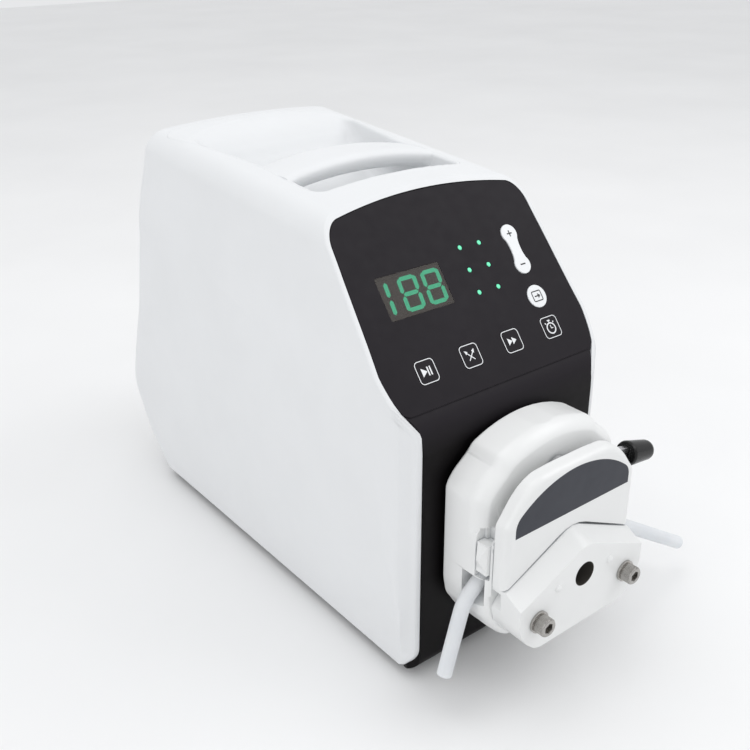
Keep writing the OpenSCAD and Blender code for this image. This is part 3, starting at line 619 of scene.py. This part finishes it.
def rim_ring(a, t, back=0.0):
    """Points on the front edge of the case, t inside its outer surface and back behind it."""
    direction = np.stack([np.sin(a), 0 * a, np.cos(a)], 1)
    y = np.full(len(a), 20.0)
    for _ in range(14):
        start = np.stack([0 * a, y, 0 * a], 1)
        hit = ray_hits(bottomed, start, direction, t)
        y = 0.3 * y + 0.7 * (front_at(hit[:, 2]) + back)
    hit[:, 1] = front_at(hit[:, 2]) + back
    return hit


SPINE_END = 225.0


def case_rings(a, t, first, along):
    """Rings of points behind a rim: first along the shaft line, then round the rear."""
    rings = []
    direction = np.stack([np.sin(a), 0 * a, np.cos(a)], 1)
    for s in along:
        start = np.stack([0 * a, first + (SPINE_END - first) * s, 0 * a], 1)
        rings.append(ray_hits(case, start, direction, t))
    fine = len(along) // 2
    turns = np.concatenate([np.linspace(0, 16, fine)[1:], np.linspace(16, 89, fine)[1:]])
    for b in np.radians(turns):
        d = direction * math.cos(b) + np.array([0, 1, 0]) * math.sin(b)
        start = np.tile([0.0, SPINE_END, 0.0], (len(a), 1))
        rings.append(ray_hits(case, start, d, t))
    return rings


def pocket_outline(t, n=8, gap=0.0):
    """The grip pocket seen from above, widening to the rear; gap spaces its points evenly."""
    half = (
        arc(43.5, 104, 8, -90, 0, n)
        + curved([(51.5, 130), (51.5, 156), (56.8, 199), (62.3, 233)], 5)
        + arc(55.5, 234.5, 7, 12, 90, n)
    )
    outline = half + [(-x, y) for x, y in half[::-1]]
    return inset(even(outline, gap, 0) if gap else outline, t)


def case_top(x, y):
    """Height of the case's top above a point, with its rounded rear edge."""
    start = np.stack([x, y, np.full(len(x), 100.0)], 1)
    return ray_hits(case, start, np.tile([0.0, 0.0, 1.0], (len(x), 1)), 0, 120)[:, 2]


def lip_cutter(name, outline, height, radius, floor):
    """Cuts a hole whose upper edge is rounded to meet the surface given by height."""
    rings = []
    turns = np.linspace(0, math.pi / 2 - 0.12, 6)
    rounded = [(radius * (1 - math.sin(q)), radius * (1 - math.cos(q))) for q in turns]
    for d, grow in [(floor, 0.0)] + rounded + [(-6.0, radius)]:
        p = inset(outline, -grow)
        z = height(p[:, 0], p[:, 1]) - d
        rings.append(np.column_stack([p, z]))
    return loft(name, rings)


def case_trim():
    """Everything outside the case's rear face, as a block that trims the well's walls."""
    rear = [(y - 0.6, z) for y, z in REAR_LINE]
    far = 400
    above = rear[0][1] + 30
    outline = [(far, above), (rear[0][0], above)] + rear + [(rear[-1][0], -100), (far, -100)]
    return across_x("trim", outline, 90)


def rear_prism(name, outline, y_range):
    """A block along Y from the rear well's outline, which lies a little under the shaft."""
    return loft(name, [[(x, y, z - 2) for x, z in outline] for y in y_range])


def outer_shell():
    a = section_angles(2.2)
    edge = 1.0
    lip = 12.0
    behind = rim_ring(a, 0.0, edge)
    corner = rim_ring(a, 0.0)
    face = rim_ring(a, edge)
    rings = [rim_ring(a, WALL, lip), rim_ring(a, WALL), face]
    for s in (0.3, 0.6, 0.85):
        rings.append(face * (1 - s) ** 2 + corner * 2 * s * (1 - s) + behind * s * s)
    along = np.linspace(0, 1, 95)
    outer = case_rings(a, 0.0, behind[:, 1], along)
    inner = case_rings(a, WALL, rim_ring(a, WALL, lip)[:, 1], np.linspace(0, 1, 24))
    shell = loft("case_shell", inner[:0:-1] + rings + outer)
    floor_opening = box_solid("opening", (-62, 62), (16, 276), (-90, -60))
    pocket = lip_cutter("pocket", pocket_outline(0.0, gap=2.0), case_top, 0.2, 60.0)
    boolean(shell, [floor_opening, pocket])
    wall = rear_prism("wall", round_box(96.9, 96.9, 5.0, 4), (283, 330))
    boolean(wall, case_trim())
    boolean(shell, wall, "UNION")
    boolean(shell, rear_prism("well", round_box(92.0, 92.0, 3.0, 4), (285, 360)))
    soften(shell, 0, smooth_angle=32)
    return piece(shell, "outer_shell")


# The grip pocket's floor seen from the side, rising to the rear: (y, z).
POCKET_FLOOR = curved([
    (90, 144), (148, 144), (168, 146.5), (186, 153), (204, 165), (211, 172),
    (219, 178.4), (232, 184.6), (243, 193), (250, 205),
], 5)


def handle_tray():
    """A solid under the case's top, cut from below and hollowed with a rolled lip."""
    outer = pocket_outline(0.06, gap=2.0)
    middle = np.array([0.0, 168.0])
    rings = [np.column_stack([outer, np.full(len(outer), 141.8)])]
    for s in (1.0, 0.97, 0.92, 0.85, 0.72, 0.5, 0.2):
        p = middle + (outer - middle) * s
        rings.append(np.column_stack([p, case_top(p[:, 0], p[:, 1]) - 0.1]))
    tray = loft("grip_tray", rings)
    skin = 2.2
    below = [(y, z - skin) for y, z in POCKET_FLOOR if 95 < y < 212]
    under = [(80, 100), (80, below[0][1])] + below + [(260, 168.5), (260, 100)]
    boolean(tray, across_x("under", under, 70))

    inner = pocket_outline(WALL, 5)

    def hollow(x, y, z):
        roll = np.clip(1 - (crown_height(x, y) - z) / skin, 0, 1)
        walls = distance(x, y, inner) - skin * (1 - np.sqrt(1 - roll * roll))
        y_line, z_line = zip(*POCKET_FLOOR)
        floor = (np.interp(y, y_line, z_line) - z) * 0.8
        return rounded_max(walls, floor, 9.0)

    n = 150
    a = np.linspace(0, 2 * math.pi, n, endpoint=False)
    outward = np.stack([np.cos(a), np.sin(a), 0 * a], 1)
    rings = []
    for z in np.concatenate([[200], np.linspace(188, 166, 42), np.linspace(164, 145, 14)]):
        centre_y = float(np.interp(z, [144, 165, 190, 215], [132, 150, 168, 168]))
        rings.append(ray_hits(hollow, np.tile([0.0, centre_y, z], (n, 1)), outward, 0, 130))
    boolean(tray, loft("hollow", rings[::-1]))
    soften(tray, 0, smooth_angle=40)
    return piece(tray, "handle_tray")


# Section of the handle bar: (y, share of its height), from its lower front edge up and round.
GRIP_SECTION = [
    (126.0, 0.30), (124.6, 0.5), (124.3, 0.7), (125.2, 0.86), (127.6, 0.97), (131, 1.0),
    (140, 1.0), (150, 0.97), (156, 0.9), (160.4, 0.74), (162, 0.5), (160.5, 0.25),
    (156, 0.06), (150, 0.0), (140, 0.0), (131, 0.06),
]


def carry_handle():
    """A bar across the pocket, arched along X, with a full rounded front and flared ends."""
    section = curved(GRIP_SECTION + GRIP_SECTION[:1], 4)[:-1]
    rings = []
    half = 50.8
    flare_length = 7
    middle_y = 143
    for x in np.linspace(-half, half, 61):
        low = 168.6 - x * x / 510
        high = 180.3 - x * x / 470
        flare = max(0.0, abs(x) - (half - flare_length)) / flare_length
        grow = 4.0 * flare * flare
        ring = []
        for y, h in section:
            wider = middle_y + (y - middle_y) * (1 + grow / 22)
            lowered = grow * 0.8 if h < 0.5 else 0.0
            ring.append((x, wider, low + (high - low) * h - lowered))
        rings.append(ring)
    bar = loft("grip_bar", rings)
    soften(bar, 0, smooth_angle=50)
    return piece(bar, "carry_handle")


# ------------------------------------------------------------- control panel
def film_outline(t, low, high, n=240):
    """Outline of a sheet on the panel, t inside the case, between two heights."""
    a = np.linspace(0, 2 * math.pi, n, endpoint=False)

    def sheet(u, v, w):
        p = on_panel(np.stack([u, v, w], 1))
        flat = rounded_max(core(p[:, 0], p[:, 1], p[:, 2]) + t, v - high, 3.0)
        return rounded_max(flat, low - v, 1.2)

    outward = np.stack([np.cos(a), np.sin(a), 0 * a], 1)
    return ray_hits(sheet, np.tile([0.0, 52.0, 0.0], (n, 1)), outward, 0, 160)[:, :2]


# Places on the panel, as (across, up the slope) from the middle of its foot.
DISPLAY = (-51.7, -10.0, 47.2, 70.5)
KEY_V = 18.8
KEY_PITCH = 29.5
KEY_W = 12.6
ROUND_KEY = (44.1, 37.1)
PLUS_KEY = (44.1, 65.4)
LAMPS = [(u, v) for u in (7.9, 21.7) for v in (48.6, 61.5, 74.4)]


def square_key_at(i):
    return np.array([(i - 1.5) * KEY_PITCH, KEY_V])


def hourglass(grow, n=14):
    """Outline of the two-ended key."""
    r = 5.6 + grow
    waist = 3.7 + grow
    reach = 9.2
    half = []
    for q in np.linspace(90, -36, n):
        half.append((r * math.cos(math.radians(q)), reach + r * math.sin(math.radians(q))))
    end = half[-1]
    for k in range(1, 8):
        s = k / 8
        half.append((waist + (end[0] - waist) * (1 - s) ** 2.2, end[1] * (1 - s)))
    right = half + [(waist, 0.0)] + [(x, -y) for x, y in half[::-1]]
    left = [(-x, y) for x, y in right[::-1]]
    return np.array(right + left[1:-1])


def panel_film():
    """The film, with openings for the window, the lamps and the keys."""
    film = panel_prism("control_film", film_outline(WALL + 0.4, 0.4, 112), -0.8, 0.0, 0.12, 2)
    left, right, low, high = DISPLAY
    openings = [round_box(right - left, high - low, 1.0) + np.array([(left + right) / 2, (low + high) / 2])]
    openings += [circle(1.45, 24) + np.array(at) for at in LAMPS]
    openings += [round_box(KEY_W + 0.3, KEY_W + 0.3, 2.6) + square_key_at(i) for i in range(4)]
    openings.append(circle(6.7) + np.array(ROUND_KEY))
    openings.append(hourglass(0.2) + np.array(PLUS_KEY))
    boolean(film, [panel_prism("opening", outline, -2, 1) for outline in openings])
    soften(film, 0, smooth_angle=30)
    return piece(film, "panel_film")


def printed(name, outline, body, slot, low=0.1, high=0.13, hole=None):
    """A raised print on a key; hole is an inner outline that is left clear."""
    obj = panel_prism(name, outline, low - 0.05, high)
    if hole is not None:
        boolean(obj, panel_prism("h", hole, low - 1, high + 1))
    soften(obj, 0)
    return trim(obj, body, slot)


def square_key(i, node):
    """A cap with a stem and a printed outline; returns the key's place."""
    at = square_key_at(i)
    cap = panel_prism(node + "_cap", round_box(KEY_W, KEY_W, 2.4) + at, -0.8, 0.1, 0.12, 2)
    stem = panel_prism("stem", circle(2.4, 32) + at, -5.2, -0.7)
    boolean(cap, stem, "UNION")
    soften(cap, 0, smooth_angle=30)
    piece(cap, node)
    ring = round_box(KEY_W - 0.5, KEY_W - 0.5, 2.3) + at
    printed(node + "_outline", ring, NODE_BODY[node], "white_key", hole=inset(ring, 0.42))
    return at


def strip(points, width):
    """Outline of a straight stroke."""
    a, b = np.array(points[0], float), np.array(points[1], float)
    d = (b - a) / np.linalg.norm(b - a)
    n = np.array([-d[1], d[0]]) * width / 2
    return np.array([a - n, b - n, b + n, a + n])


def start_marks():
    """A play arrow and two bars."""
    node = "start_key"
    at = square_key(0, node)
    body = NODE_BODY[node]
    printed("start_mark_1", np.array([(-3.1, -2.3), (0.3, 0.0), (-3.1, 2.3)]) + at, body, "white_key")
    for k, u in enumerate((0.9, 2.5)):
        printed(f"start_mark_{k + 2}", strip([(u, -2.3), (u, 2.3)], 0.8) + at, body, "white_key")


def direction_marks():
    """Two crossed arrows."""
    node = "direction_key"
    at = square_key(1, node)
    body = NODE_BODY[node]
    for k, side in enumerate((-1, 1)):
        shaft = strip([(side * -1.9, -2.4), (side * 2.0, 1.6)], 0.5)
        printed(f"direction_mark_{k}", shaft + at, body, "white_key", high=0.13 + 0.01 * k)
        tip = np.array([(side * 3.3, 3.3), (side * 1.3, 2.3), (side * 2.6, 0.9)])
        printed(f"direction_head_{k}", tip + at, body, "white_key")


def prime_marks():
    """Two arrow heads in a row."""
    node = "prime_key"
    at = square_key(2, node)
    for k, u in enumerate((-2.9, 0.1)):
        tip = np.array([(u, -2.0), (u + 2.9, 0.0), (u, 2.0)])
        printed(f"prime_mark_{k}", tip + at, NODE_BODY[node], "white_key")


def timer_marks():
    """A stopwatch."""
    node = "timer_key"
    at = square_key(3, node)
    body = NODE_BODY[node]
    centre = at + np.array([0, -0.7])
    printed("timer_dial", circle(3.3) + centre, body, "white_key", hole=circle(2.55) + centre)
    printed("timer_hand", strip([(0, -0.9), (0, 1.1)], 0.5) + at, body, "white_key")
    printed("timer_hand_2", strip([(0.1, -0.7), (1.5, -0.7)], 0.45) + at, body, "white_key", high=0.14)
    printed("timer_crown", strip([(-1.0, 3.7), (1.0, 3.7)], 0.7) + at, body, "white_key")
    printed("timer_stem", strip([(0, 2.4), (0, 3.5)], 0.6) + at, body, "white_key", high=0.12)
    for k, side in enumerate((-1, 1)):
        lug = strip([(side * 2.5, 2.0), (side * 3.2, 2.8)], 0.6)
        printed(f"timer_lug_{k}", lug + at, body, "white_key")


def round_key():
    """A round cap with an arrow in a frame."""
    at = np.array(ROUND_KEY)
    cap = panel_prism("mode_cap", circle(6.5, 64) + at, -0.8, 0.4, 0.35, 4)
    boolean(cap, panel_prism("stem", circle(2.4, 32) + at, -5.2, -0.7), "UNION")
    soften(cap, 0, smooth_angle=30)
    piece(cap, "mode_key")
    ring = round_box(7.0, 6.2, 1.0) + at
    body = NODE_BODY["mode_key"]
    top = 0.4
    printed("mode_mark", ring, body, "rear_black", top, 0.43, inset(ring, 0.6))
    printed("mode_arrow", strip([(-1.9, 0), (1.4, 0)], 0.7) + at, body, "rear_black", top, 0.43)
    tip = np.array([(0.5, -1.5), (2.3, 0), (0.5, 1.5)])
    printed("mode_tip", tip + at, body, "rear_black", top, 0.44)


def rocker_key():
    """The two-ended cap with a plus, made of two strokes, and a minus."""
    at = np.array(PLUS_KEY)
    body = NODE_BODY["speed_rocker"]
    top = 0.5
    cap = panel_prism("speed_cap", hourglass(-0.15) + at, -0.65, top, 0.4, 4)
    for side in (-1, 1):
        stem = circle(2.2, 32) + at + np.array([0, 9 * side])
        boolean(cap, panel_prism("stem", stem, -5.1, -0.6), "UNION")
    soften(cap, 0, smooth_angle=30)
    piece(cap, "speed_rocker")
    strokes = [[(-1.8, 9.2), (1.8, 9.2)], [(0, 7.4), (0, 11.0)], [(-1.8, -9.2), (1.8, -9.2)]]
    for k, stroke in enumerate(strokes):
        printed(f"speed_mark_{k}", strip(stroke, 0.75) + at, body, "rear_black", top, 0.53 + 0.01 * k)


FIGURE_W = 12.0
FIGURE_H = 18.6
STROKE = 2.1
FIGURE_LEAN = 0.06
FIGURES = [(-46.2, "bc"), (-32.6, "abcdefg"), (-17.2, "abcdefg")]


def segment(cx, cy, length, upright):
    """Outline of one pointed stroke of a figure, leaning with it."""
    h = length / 2
    t = STROKE / 2
    middle = (DISPLAY[2] + DISPLAY[3]) / 2
    shape = [(-h, 0), (-h + t, t), (h - t, t), (h, 0), (h - t, -t), (-h + t, -t)]
    if upright:
        shape = [(-y, x) for x, y in shape]
    return [(cx + x + (cy + y) * FIGURE_LEAN, cy + y + middle) for x, y in shape]


def figures():
    """Lit seven-segment figures behind the window."""
    x_side = FIGURE_W / 2 - STROKE / 2
    y_end = FIGURE_H / 2 - STROKE / 2
    y_half = FIGURE_H / 4
    spots = {
        "a": (0, y_end, False), "g": (0, 0, False), "d": (0, -y_end, False),
        "b": (x_side, y_half, True), "c": (x_side, -y_half, True),
        "f": (-x_side, y_half, True), "e": (-x_side, -y_half, True),
    }
    parts = []
    for cx, kinds in FIGURES:
        for k in kinds:
            x, y, upright = spots[k]
            length = y_end - 0.5 if upright else FIGURE_W - STROKE - 0.6
            x = 0 if kinds == "bc" else x
            parts.append(panel_prism("s", segment(cx + x, y, length, upright), -1.6, -1.1))
    base = merge(parts[0], parts[1:])
    base.name = "lit_figures"
    soften(base, 0)
    return piece(base, "digit_segments")


def merge(obj, others):
    bm = bmesh.new()
    bm.from_mesh(obj.data)
    for other in others:
        bm.from_mesh(other.data)
        bpy.data.objects.remove(other)
    bm.to_mesh(obj.data)
    bm.free()
    return obj


# A lamp from its foot to its lens: (radius, height over the film).
LAMP_PROFILE = [
    (2.4, -11.0), (2.4, -5.0), (1.3, -5.0), (1.3, -0.25), (1.1, -0.08), (0.75, 0.0), (0.01, 0.0),
]


def lamps():
    sides = 24
    parts = []
    for at in LAMPS:
        rings = []
        for r, w in LAMP_PROFILE:
            ring = circle(r, sides) + np.array(at)
            rings.append(on_panel(np.column_stack([ring, np.full(sides, w)])))
        parts.append(loft("lamp", rings))
    base = merge(parts[0], parts[1:])
    base.name = "lamp_lenses"
    soften(base, 0)
    return piece(base, "indicator_leds")


# ----------------------------------------------------------------- pump head
WRAP = math.radians(52)
WRAP_R = 28.15
OPENING = 18.0
TUBE_R = 4.0
# On each side: straight length, radius and angle of the bend, and length after it.
TUBE_RUNS = {1: (24.0, 90.0, math.radians(5), 84.0), -1: (24.0, 20.0, math.radians(-36), 36.0)}


def half_path(side):
    """Half of the tube's centre line, as (x, z, how far it has opened)."""
    straight, radius, turn, last = TUBE_RUNS[side]
    out = [(WRAP_R * math.cos(a), WRAP_R * math.sin(a), 0.0) for a in np.linspace(math.pi / 2, WRAP, 24)]
    x, z = WRAP_R * math.cos(WRAP), WRAP_R * math.sin(WRAP)
    heading = WRAP - math.pi / 2
    for s in np.linspace(0, OPENING + straight, 34)[1:]:
        out.append((x + s * math.cos(heading), z + s * math.sin(heading), min(1.0, s / OPENING)))
    x, z = out[-1][0], out[-1][1]
    steps = 14
    for _ in range(steps):
        heading += turn / steps / 2
        s = abs(turn) * radius / steps
        x, z = x + s * math.cos(heading), z + s * math.sin(heading)
        heading += turn / steps / 2
        out.append((x, z, 1.0))
    for s in np.linspace(0, last, 20)[1:]:
        out.append((x + s * math.cos(heading), z + s * math.sin(heading), 1.0))
    return [(side * px, pz, opened) for px, pz, opened in out]


def tube_path():
    """The whole centre line with evenly spaced points, its bends eased."""
    path = np.array(half_path(-1)[::-1] + half_path(1)[1:])
    run = np.concatenate([[0], np.cumsum(np.linalg.norm(np.diff(path[:, :2], axis=0), axis=1))])
    at = np.linspace(0, run[-1], int(run[-1] / 1.1))
    path = np.stack([np.interp(at, run, path[:, k]) for k in range(3)], 1)
    for _ in range(6):
        path[1:-1] = (path[:-2] + 2 * path[1:-1] + path[2:]) / 4
    return path


def tube():
    """The tube lies flat over the rollers, opens out on each side and hangs down."""
    path = tube_path()
    pts = path[:, :2]
    tangent = np.gradient(pts, axis=0)
    tangent /= np.linalg.norm(tangent, axis=1)[:, None]
    a = np.linspace(0, 2 * math.pi, 40, endpoint=False)

    def ring(i, scale, flat_height):
        """The wall's section at one point: flattened where the tube is pressed, round elsewhere."""
        o = smooth(path[i][2])
        across = scale * ((1 - o) * 5.3 + o * TUBE_R)
        up = (1 - o) * flat_height + o * TUBE_R * scale
        normal = np.array([-tangent[i][1], tangent[i][0]])
        power = 1 - 0.35 * (1 - o)
        u = across * np.sign(np.cos(a)) * np.abs(np.cos(a)) ** power
        v = up * np.sign(np.sin(a)) * np.abs(np.sin(a)) ** power
        return np.stack([pts[i][0] + v * normal[0], TUBE_Y + u, pts[i][1] + v * normal[1]], 1)

    outer = [ring(i, 1.0, 1.1) for i in range(len(path))]
    inner = [ring(i, 0.6, 0.132) for i in range(len(path))]
    obj = loft("pump_tube", outer + inner[::-1] + outer[:1], caps=False)
    soften(obj, 0, smooth_angle=50)
    return piece(obj, "tube")


def mirrored(half):
    """Both halves of an outline given on its right side, from its foot to its top."""
    return list(half) + [(-x, z) for x, z in half[::-1] if x > 0]


def along_y(name, outline, profile):
    """A solid skinned along Y; profile is (y, how far the outline is drawn in).

    A ring drawn in by more than 1.5 mm is eased, so that its corners don't fold.
    """
    rings = []
    for y, t in profile:
        ring = inset(outline, t)
        for _ in range(int(6 * max(t - 1.5, 0))):
            ring = (np.roll(ring, 1, 0) + 2 * ring + np.roll(ring, -1, 0)) / 4
        rings.append([(x, y, z) for x, z in ring])
    return loft(name, rings)


def rounding(y0, depth, t, n):
    """Profile of an edge rounded over a depth in y and a width t, ending at y0."""
    turns = np.linspace(0, math.pi / 2, n)
    return [(y0 + depth * (1 - math.sin(a)), t * (1 - math.cos(a))) for a in turns]


def within(obj, node):
    """Keeps the part of obj that lies inside a CAD node, with all its holes."""
    bm = bmesh.new()
    bm.from_mesh(frame["nodes"][node].data)
    bmesh.ops.remove_doubles(bm, verts=bm.verts, dist=2e-6)
    mesh = bpy.data.meshes.new("cad")
    bm.to_mesh(mesh)
    bm.free()
    cad = bpy.data.objects.new("cad", mesh)
    bpy.context.scene.collection.objects.link(cad)
    return boolean(obj, cad, "INTERSECT")


HEAD_FOOT = [(33, -38), (42, -28.5), (48.6, -18), (50.5, -8)]
HEAD_TOP_R = 74.2
HEAD_HALF = (
    HEAD_FOOT
    + [(50.5, 48), (46, 54.4), (41, 58.4), (36.6, 61.6), (33.6, 66)]
    + [(HEAD_TOP_R * math.sin(q), HEAD_TOP_R * math.cos(q) - 0.2) for q in np.radians([24, 18, 12, 6, 0])]
)


def head_body():
    """The housing and its lower front walls, joined and cut to the CAD's holes and channels."""
    outline = inset(even(mirrored(HEAD_HALF), 1.0, 5), 0.06)
    rear = [(-2.06, 3.3), (-2.3, 2.95), (-2.8, 2.5), (-4.4, 0.6), (-5.0, 0.15), (-5.8, 0)]
    front = [
        (-21, 0), (-23.5, 0.35), (-25.5, 1.2), (-27.3, 2.5), (-28.6, 3.9), (-29.5, 5.2), (-29.95, 6.6),
    ]
    body = along_y("body", outline, rear + front)
    low = even(mirrored(HEAD_FOOT + [(50.5, 27), (49.6, 30.6), (47, 32.9)]), 1.0, 3)
    depths = [(-18, 0.14), (-29, 0.14), (-32, 0.9), (-34.5, 2.2), (-35.95, 3.8)]
    boolean(body, along_y("walls", low, depths), "UNION")
    within(body, "head_body")
    soften(body, 0.35, 2, 42, 44)
    return piece(body, "head_body")


def cover_shoulder(turn):
    """A point of the cover's shoulder, between its side and its nearly flat top."""
    q = math.radians(turn)
    return (18 + 26.6 * math.sin(q), 42.4 + 18.6 * (1 - math.sin(q) ** 2.4))


COVER_HALF = [(47, -30), (47, 40)] + [cover_shoulder(t) for t in range(78, 12, -13)] + [(12, 61.2)]
COVER_FOOT = [(0, 24.1), (5, 23.5), (10, 21.7), (47, 3.9), (60, -2.4), (60, -60)]


def cover():
    """The lifting cover, cut off below along the line where the lower block begins."""
    outline = even(mirrored(COVER_HALF), 0.8, 6)
    profile = [(-36.2, 0.6), (-36.6, 0.15), (-37.2, 0)] + rounding(-45.0, 4.0, 3.8, 8)
    shape = along_y("cover", outline, profile)
    foot = COVER_FOOT + [(-x, z) for x, z in COVER_FOOT[:0:-1]]
    boolean(shape, loft("foot", [[(x, y, z) for x, z in foot] for y in (-60, -20)]))
    soften(shape, 0.25, 2, 38, 40)
    return piece(shape, "pressure_block")


def label():
    """A plate with an arched top and rounded shoulders."""
    half = [(41.5, 33)] + arc(32.5, 37.68, 9, 0, 50.96, 10) + arc(0, -2.4, 60.6, 50.96, 90, 20)
    outline = half + [(-x, z) for x, z in half[:-1][::-1]]
    plate = along_y("head_plate", outline, [(-44.5, 0), (-45.0, 0), (-45.1, 0.1)])
    soften(plate, 0, smooth_angle=30)
    return piece(plate, "head_label")


def face_bumps():
    """Two low domes beside the front bore."""
    domes = []
    for s in (-1, 1):
        rings = []
        for a in np.radians(np.linspace(0, 88, 8)):
            ring = circle(2.3 * math.cos(a), 32) + np.array([s * 19.3, 0.2])
            rings.append([(x, -55.3 - 1.5 * math.sin(a), z) for x, z in ring])
        domes.append(loft("dome", rings))
    bumps = merge(domes[0], domes[1:])
    bumps.name = "face_bumps"
    soften(bumps, 0, smooth_angle=60)
    trim(bumps, NODE_BODY["lower_block"], "white_head")


# A screw from its foot to the bottom of its recess: (y, radius, kind of ring).
SCREW_PROFILE = [
    (8.0, 3.0, "plain"), (-56.9, 3.0, "plain"),
    (-56.9, 4.9, "knurl"), (-57.2, 5.0, "knurl"), (-62.0, 5.0, "knurl"),
    (-62.5, 4.75, "plain"), (-62.9, 4.3, "plain"),
    (-62.9, 2.75, "hexagon"), (-62.6, 2.5, "hexagon"), (-60.0, 2.5, "hexagon"),
    (-59.2, 0.01, "plain"),
]


def socket_screws():
    """Two socket screws: a knurled head with a chamfered rim and a hexagonal recess."""
    steps = 96
    a = np.linspace(0, 2 * math.pi, steps, endpoint=False)
    reach = {
        "plain": 1.0,
        "knurl": np.where(np.arange(steps) % 2 == 0, 1.0, 0.955),
        "hexagon": 1 / np.cos((a + math.pi / 6) % (math.pi / 3) - math.pi / 6),
    }
    parts = []
    for side in (-1, 1):
        centre = np.array([side * 32.8, 0.0, -13.3])
        rings = []
        for y, r, kind in SCREW_PROFILE:
            radius = r * reach[kind]
            rings.append(np.stack([radius * np.cos(a), np.full(steps, y), radius * np.sin(a)], 1) + centre)
        parts.append(loft("screw", rings))
    base = merge(parts[0], parts[1:])
    base.name = "socket_screws"
    soften(base, 0, smooth_angle=28)
    return piece(base, "mounting_screws")


def refine_rest():
    """Every other node keeps the CAD's shape; its edges are rounded by this many millimetres."""
    plan = {
        "front_bezel": 0.5, "display_window": 0.1, "digit_module": 0.2, "key_switches": 0.2,
        "display_board": 0.1,
        "base_tray": 0.6, "rubber_feet": 0.5, "foot_screws": 0.2, "motor_plate": 0.3, "drive_motor": 0.5,
        "drive_shaft": 0.25, "control_board": 0.15, "board_standoffs": 0.15, "power_supply": 0.4,
        "rear_panel": 0.25, "power_inlet": 0.5, "fuse_drawer": 0.25, "switch_housing": 0.4,
        "power_switch": 0.35,
        "control_port": 0.3, "adapter_plate": 0.3, "lower_block": 1.4,
        "occlusion_bed": 0.3, "rotor_shaft": 0.3, "rotor_discs": 0.2, "roller_pins": 0.2,
        "roller_1": 0.4, "roller_2": 0.4, "roller_3": 0.4, "shaft_bearings": 0.3, "cam_shaft": 0.25,
        "lever_arm": 0.3, "lever_grip": 0.5, "left_tube_clamp": 0.5, "right_tube_clamp": 0.5,
        "screw_washers": 0.15,
    }
    for node, width in plan.items():
        refined(node, node + "_part", width)


# --------------------------------------------------------------------- scene
def look_at(obj, target):
    obj.rotation_euler = (Vector(target) - obj.location).to_track_quat("-Z", "Y").to_euler()


def area_light(name, at, target, size, power):
    light = bpy.data.lights.new(name, "AREA")
    light.size = size
    light.energy = power
    obj = bpy.data.objects.new(name, light)
    obj.location = at
    look_at(obj, target)
    bpy.context.scene.collection.objects.link(obj)


def studio():
    s = Shader("pale_floor")
    s.set("Base Color", s.mix(s.span(s.noise(3, 3), 0, 1), (0.86, 0.86, 0.86), (0.9, 0.9, 0.9)))
    s.set("Roughness", s.span(s.noise(40, 3), 0.6, 0.75))
    reach = 4000
    corners = [(-reach, -reach), (reach, -reach), (reach, reach), (-reach, reach)]
    floor = loft("floor", [[(x, y, z) for x, y in corners] for z in (BENCH - 0.02, BENCH - 6)])
    floor.data.materials.append(s.material)
    world = bpy.data.worlds.new("studio")
    bpy.context.scene.world = world
    world.use_nodes = True
    background = world.node_tree.nodes["Background"]
    background.inputs["Color"].default_value = (0.975, 0.985, 1.0, 1)
    background.inputs["Strength"].default_value = 0.82
    target = (0, 0, 0.1)
    area_light("key", (0.9, -0.7, 1.3), target, 0.9, 5)
    area_light("top", (-0.2, 0.2, 1.6), target, 1.0, 4)
    area_light("left", (-1.5, -0.6, 0.9), target, 1.0, 3)


def camera():
    """Stands in front of the operator's left, above the case, and is turned by its three angles."""
    data = bpy.data.cameras.new("camera")
    data.sensor_width = 36
    data.lens = 46.83
    data.clip_end = 50
    obj = bpy.data.objects.new("camera", data)
    obj.location = (-0.32945, -0.4494, 0.37988)
    yaw, pitch, roll = map(math.radians, (-38.07, 25.82, -0.436))
    back = Vector((math.sin(yaw) * math.cos(pitch), -math.cos(yaw) * math.cos(pitch), math.sin(pitch)))
    right = Vector((math.cos(yaw), math.sin(yaw), 0))
    up = back.cross(right)
    level = (right, up)
    right = level[0] * math.cos(roll) + level[1] * math.sin(roll)
    up = level[1] * math.cos(roll) - level[0] * math.sin(roll)
    obj.rotation_euler = Matrix((right, up, back)).transposed().to_euler()
    bpy.context.scene.collection.objects.link(obj)
    bpy.context.scene.camera = obj


make_materials()
outer_shell()
handle_tray()
carry_handle()
panel_film()
start_marks()
direction_marks()
prime_marks()
timer_marks()
round_key()
rocker_key()
figures()
lamps()
tube()
head_body()
cover()
label()
face_bumps()
socket_screws()
refine_rest()
studio()
camera()
bpy.context.scene.view_settings.view_transform = "Standard"
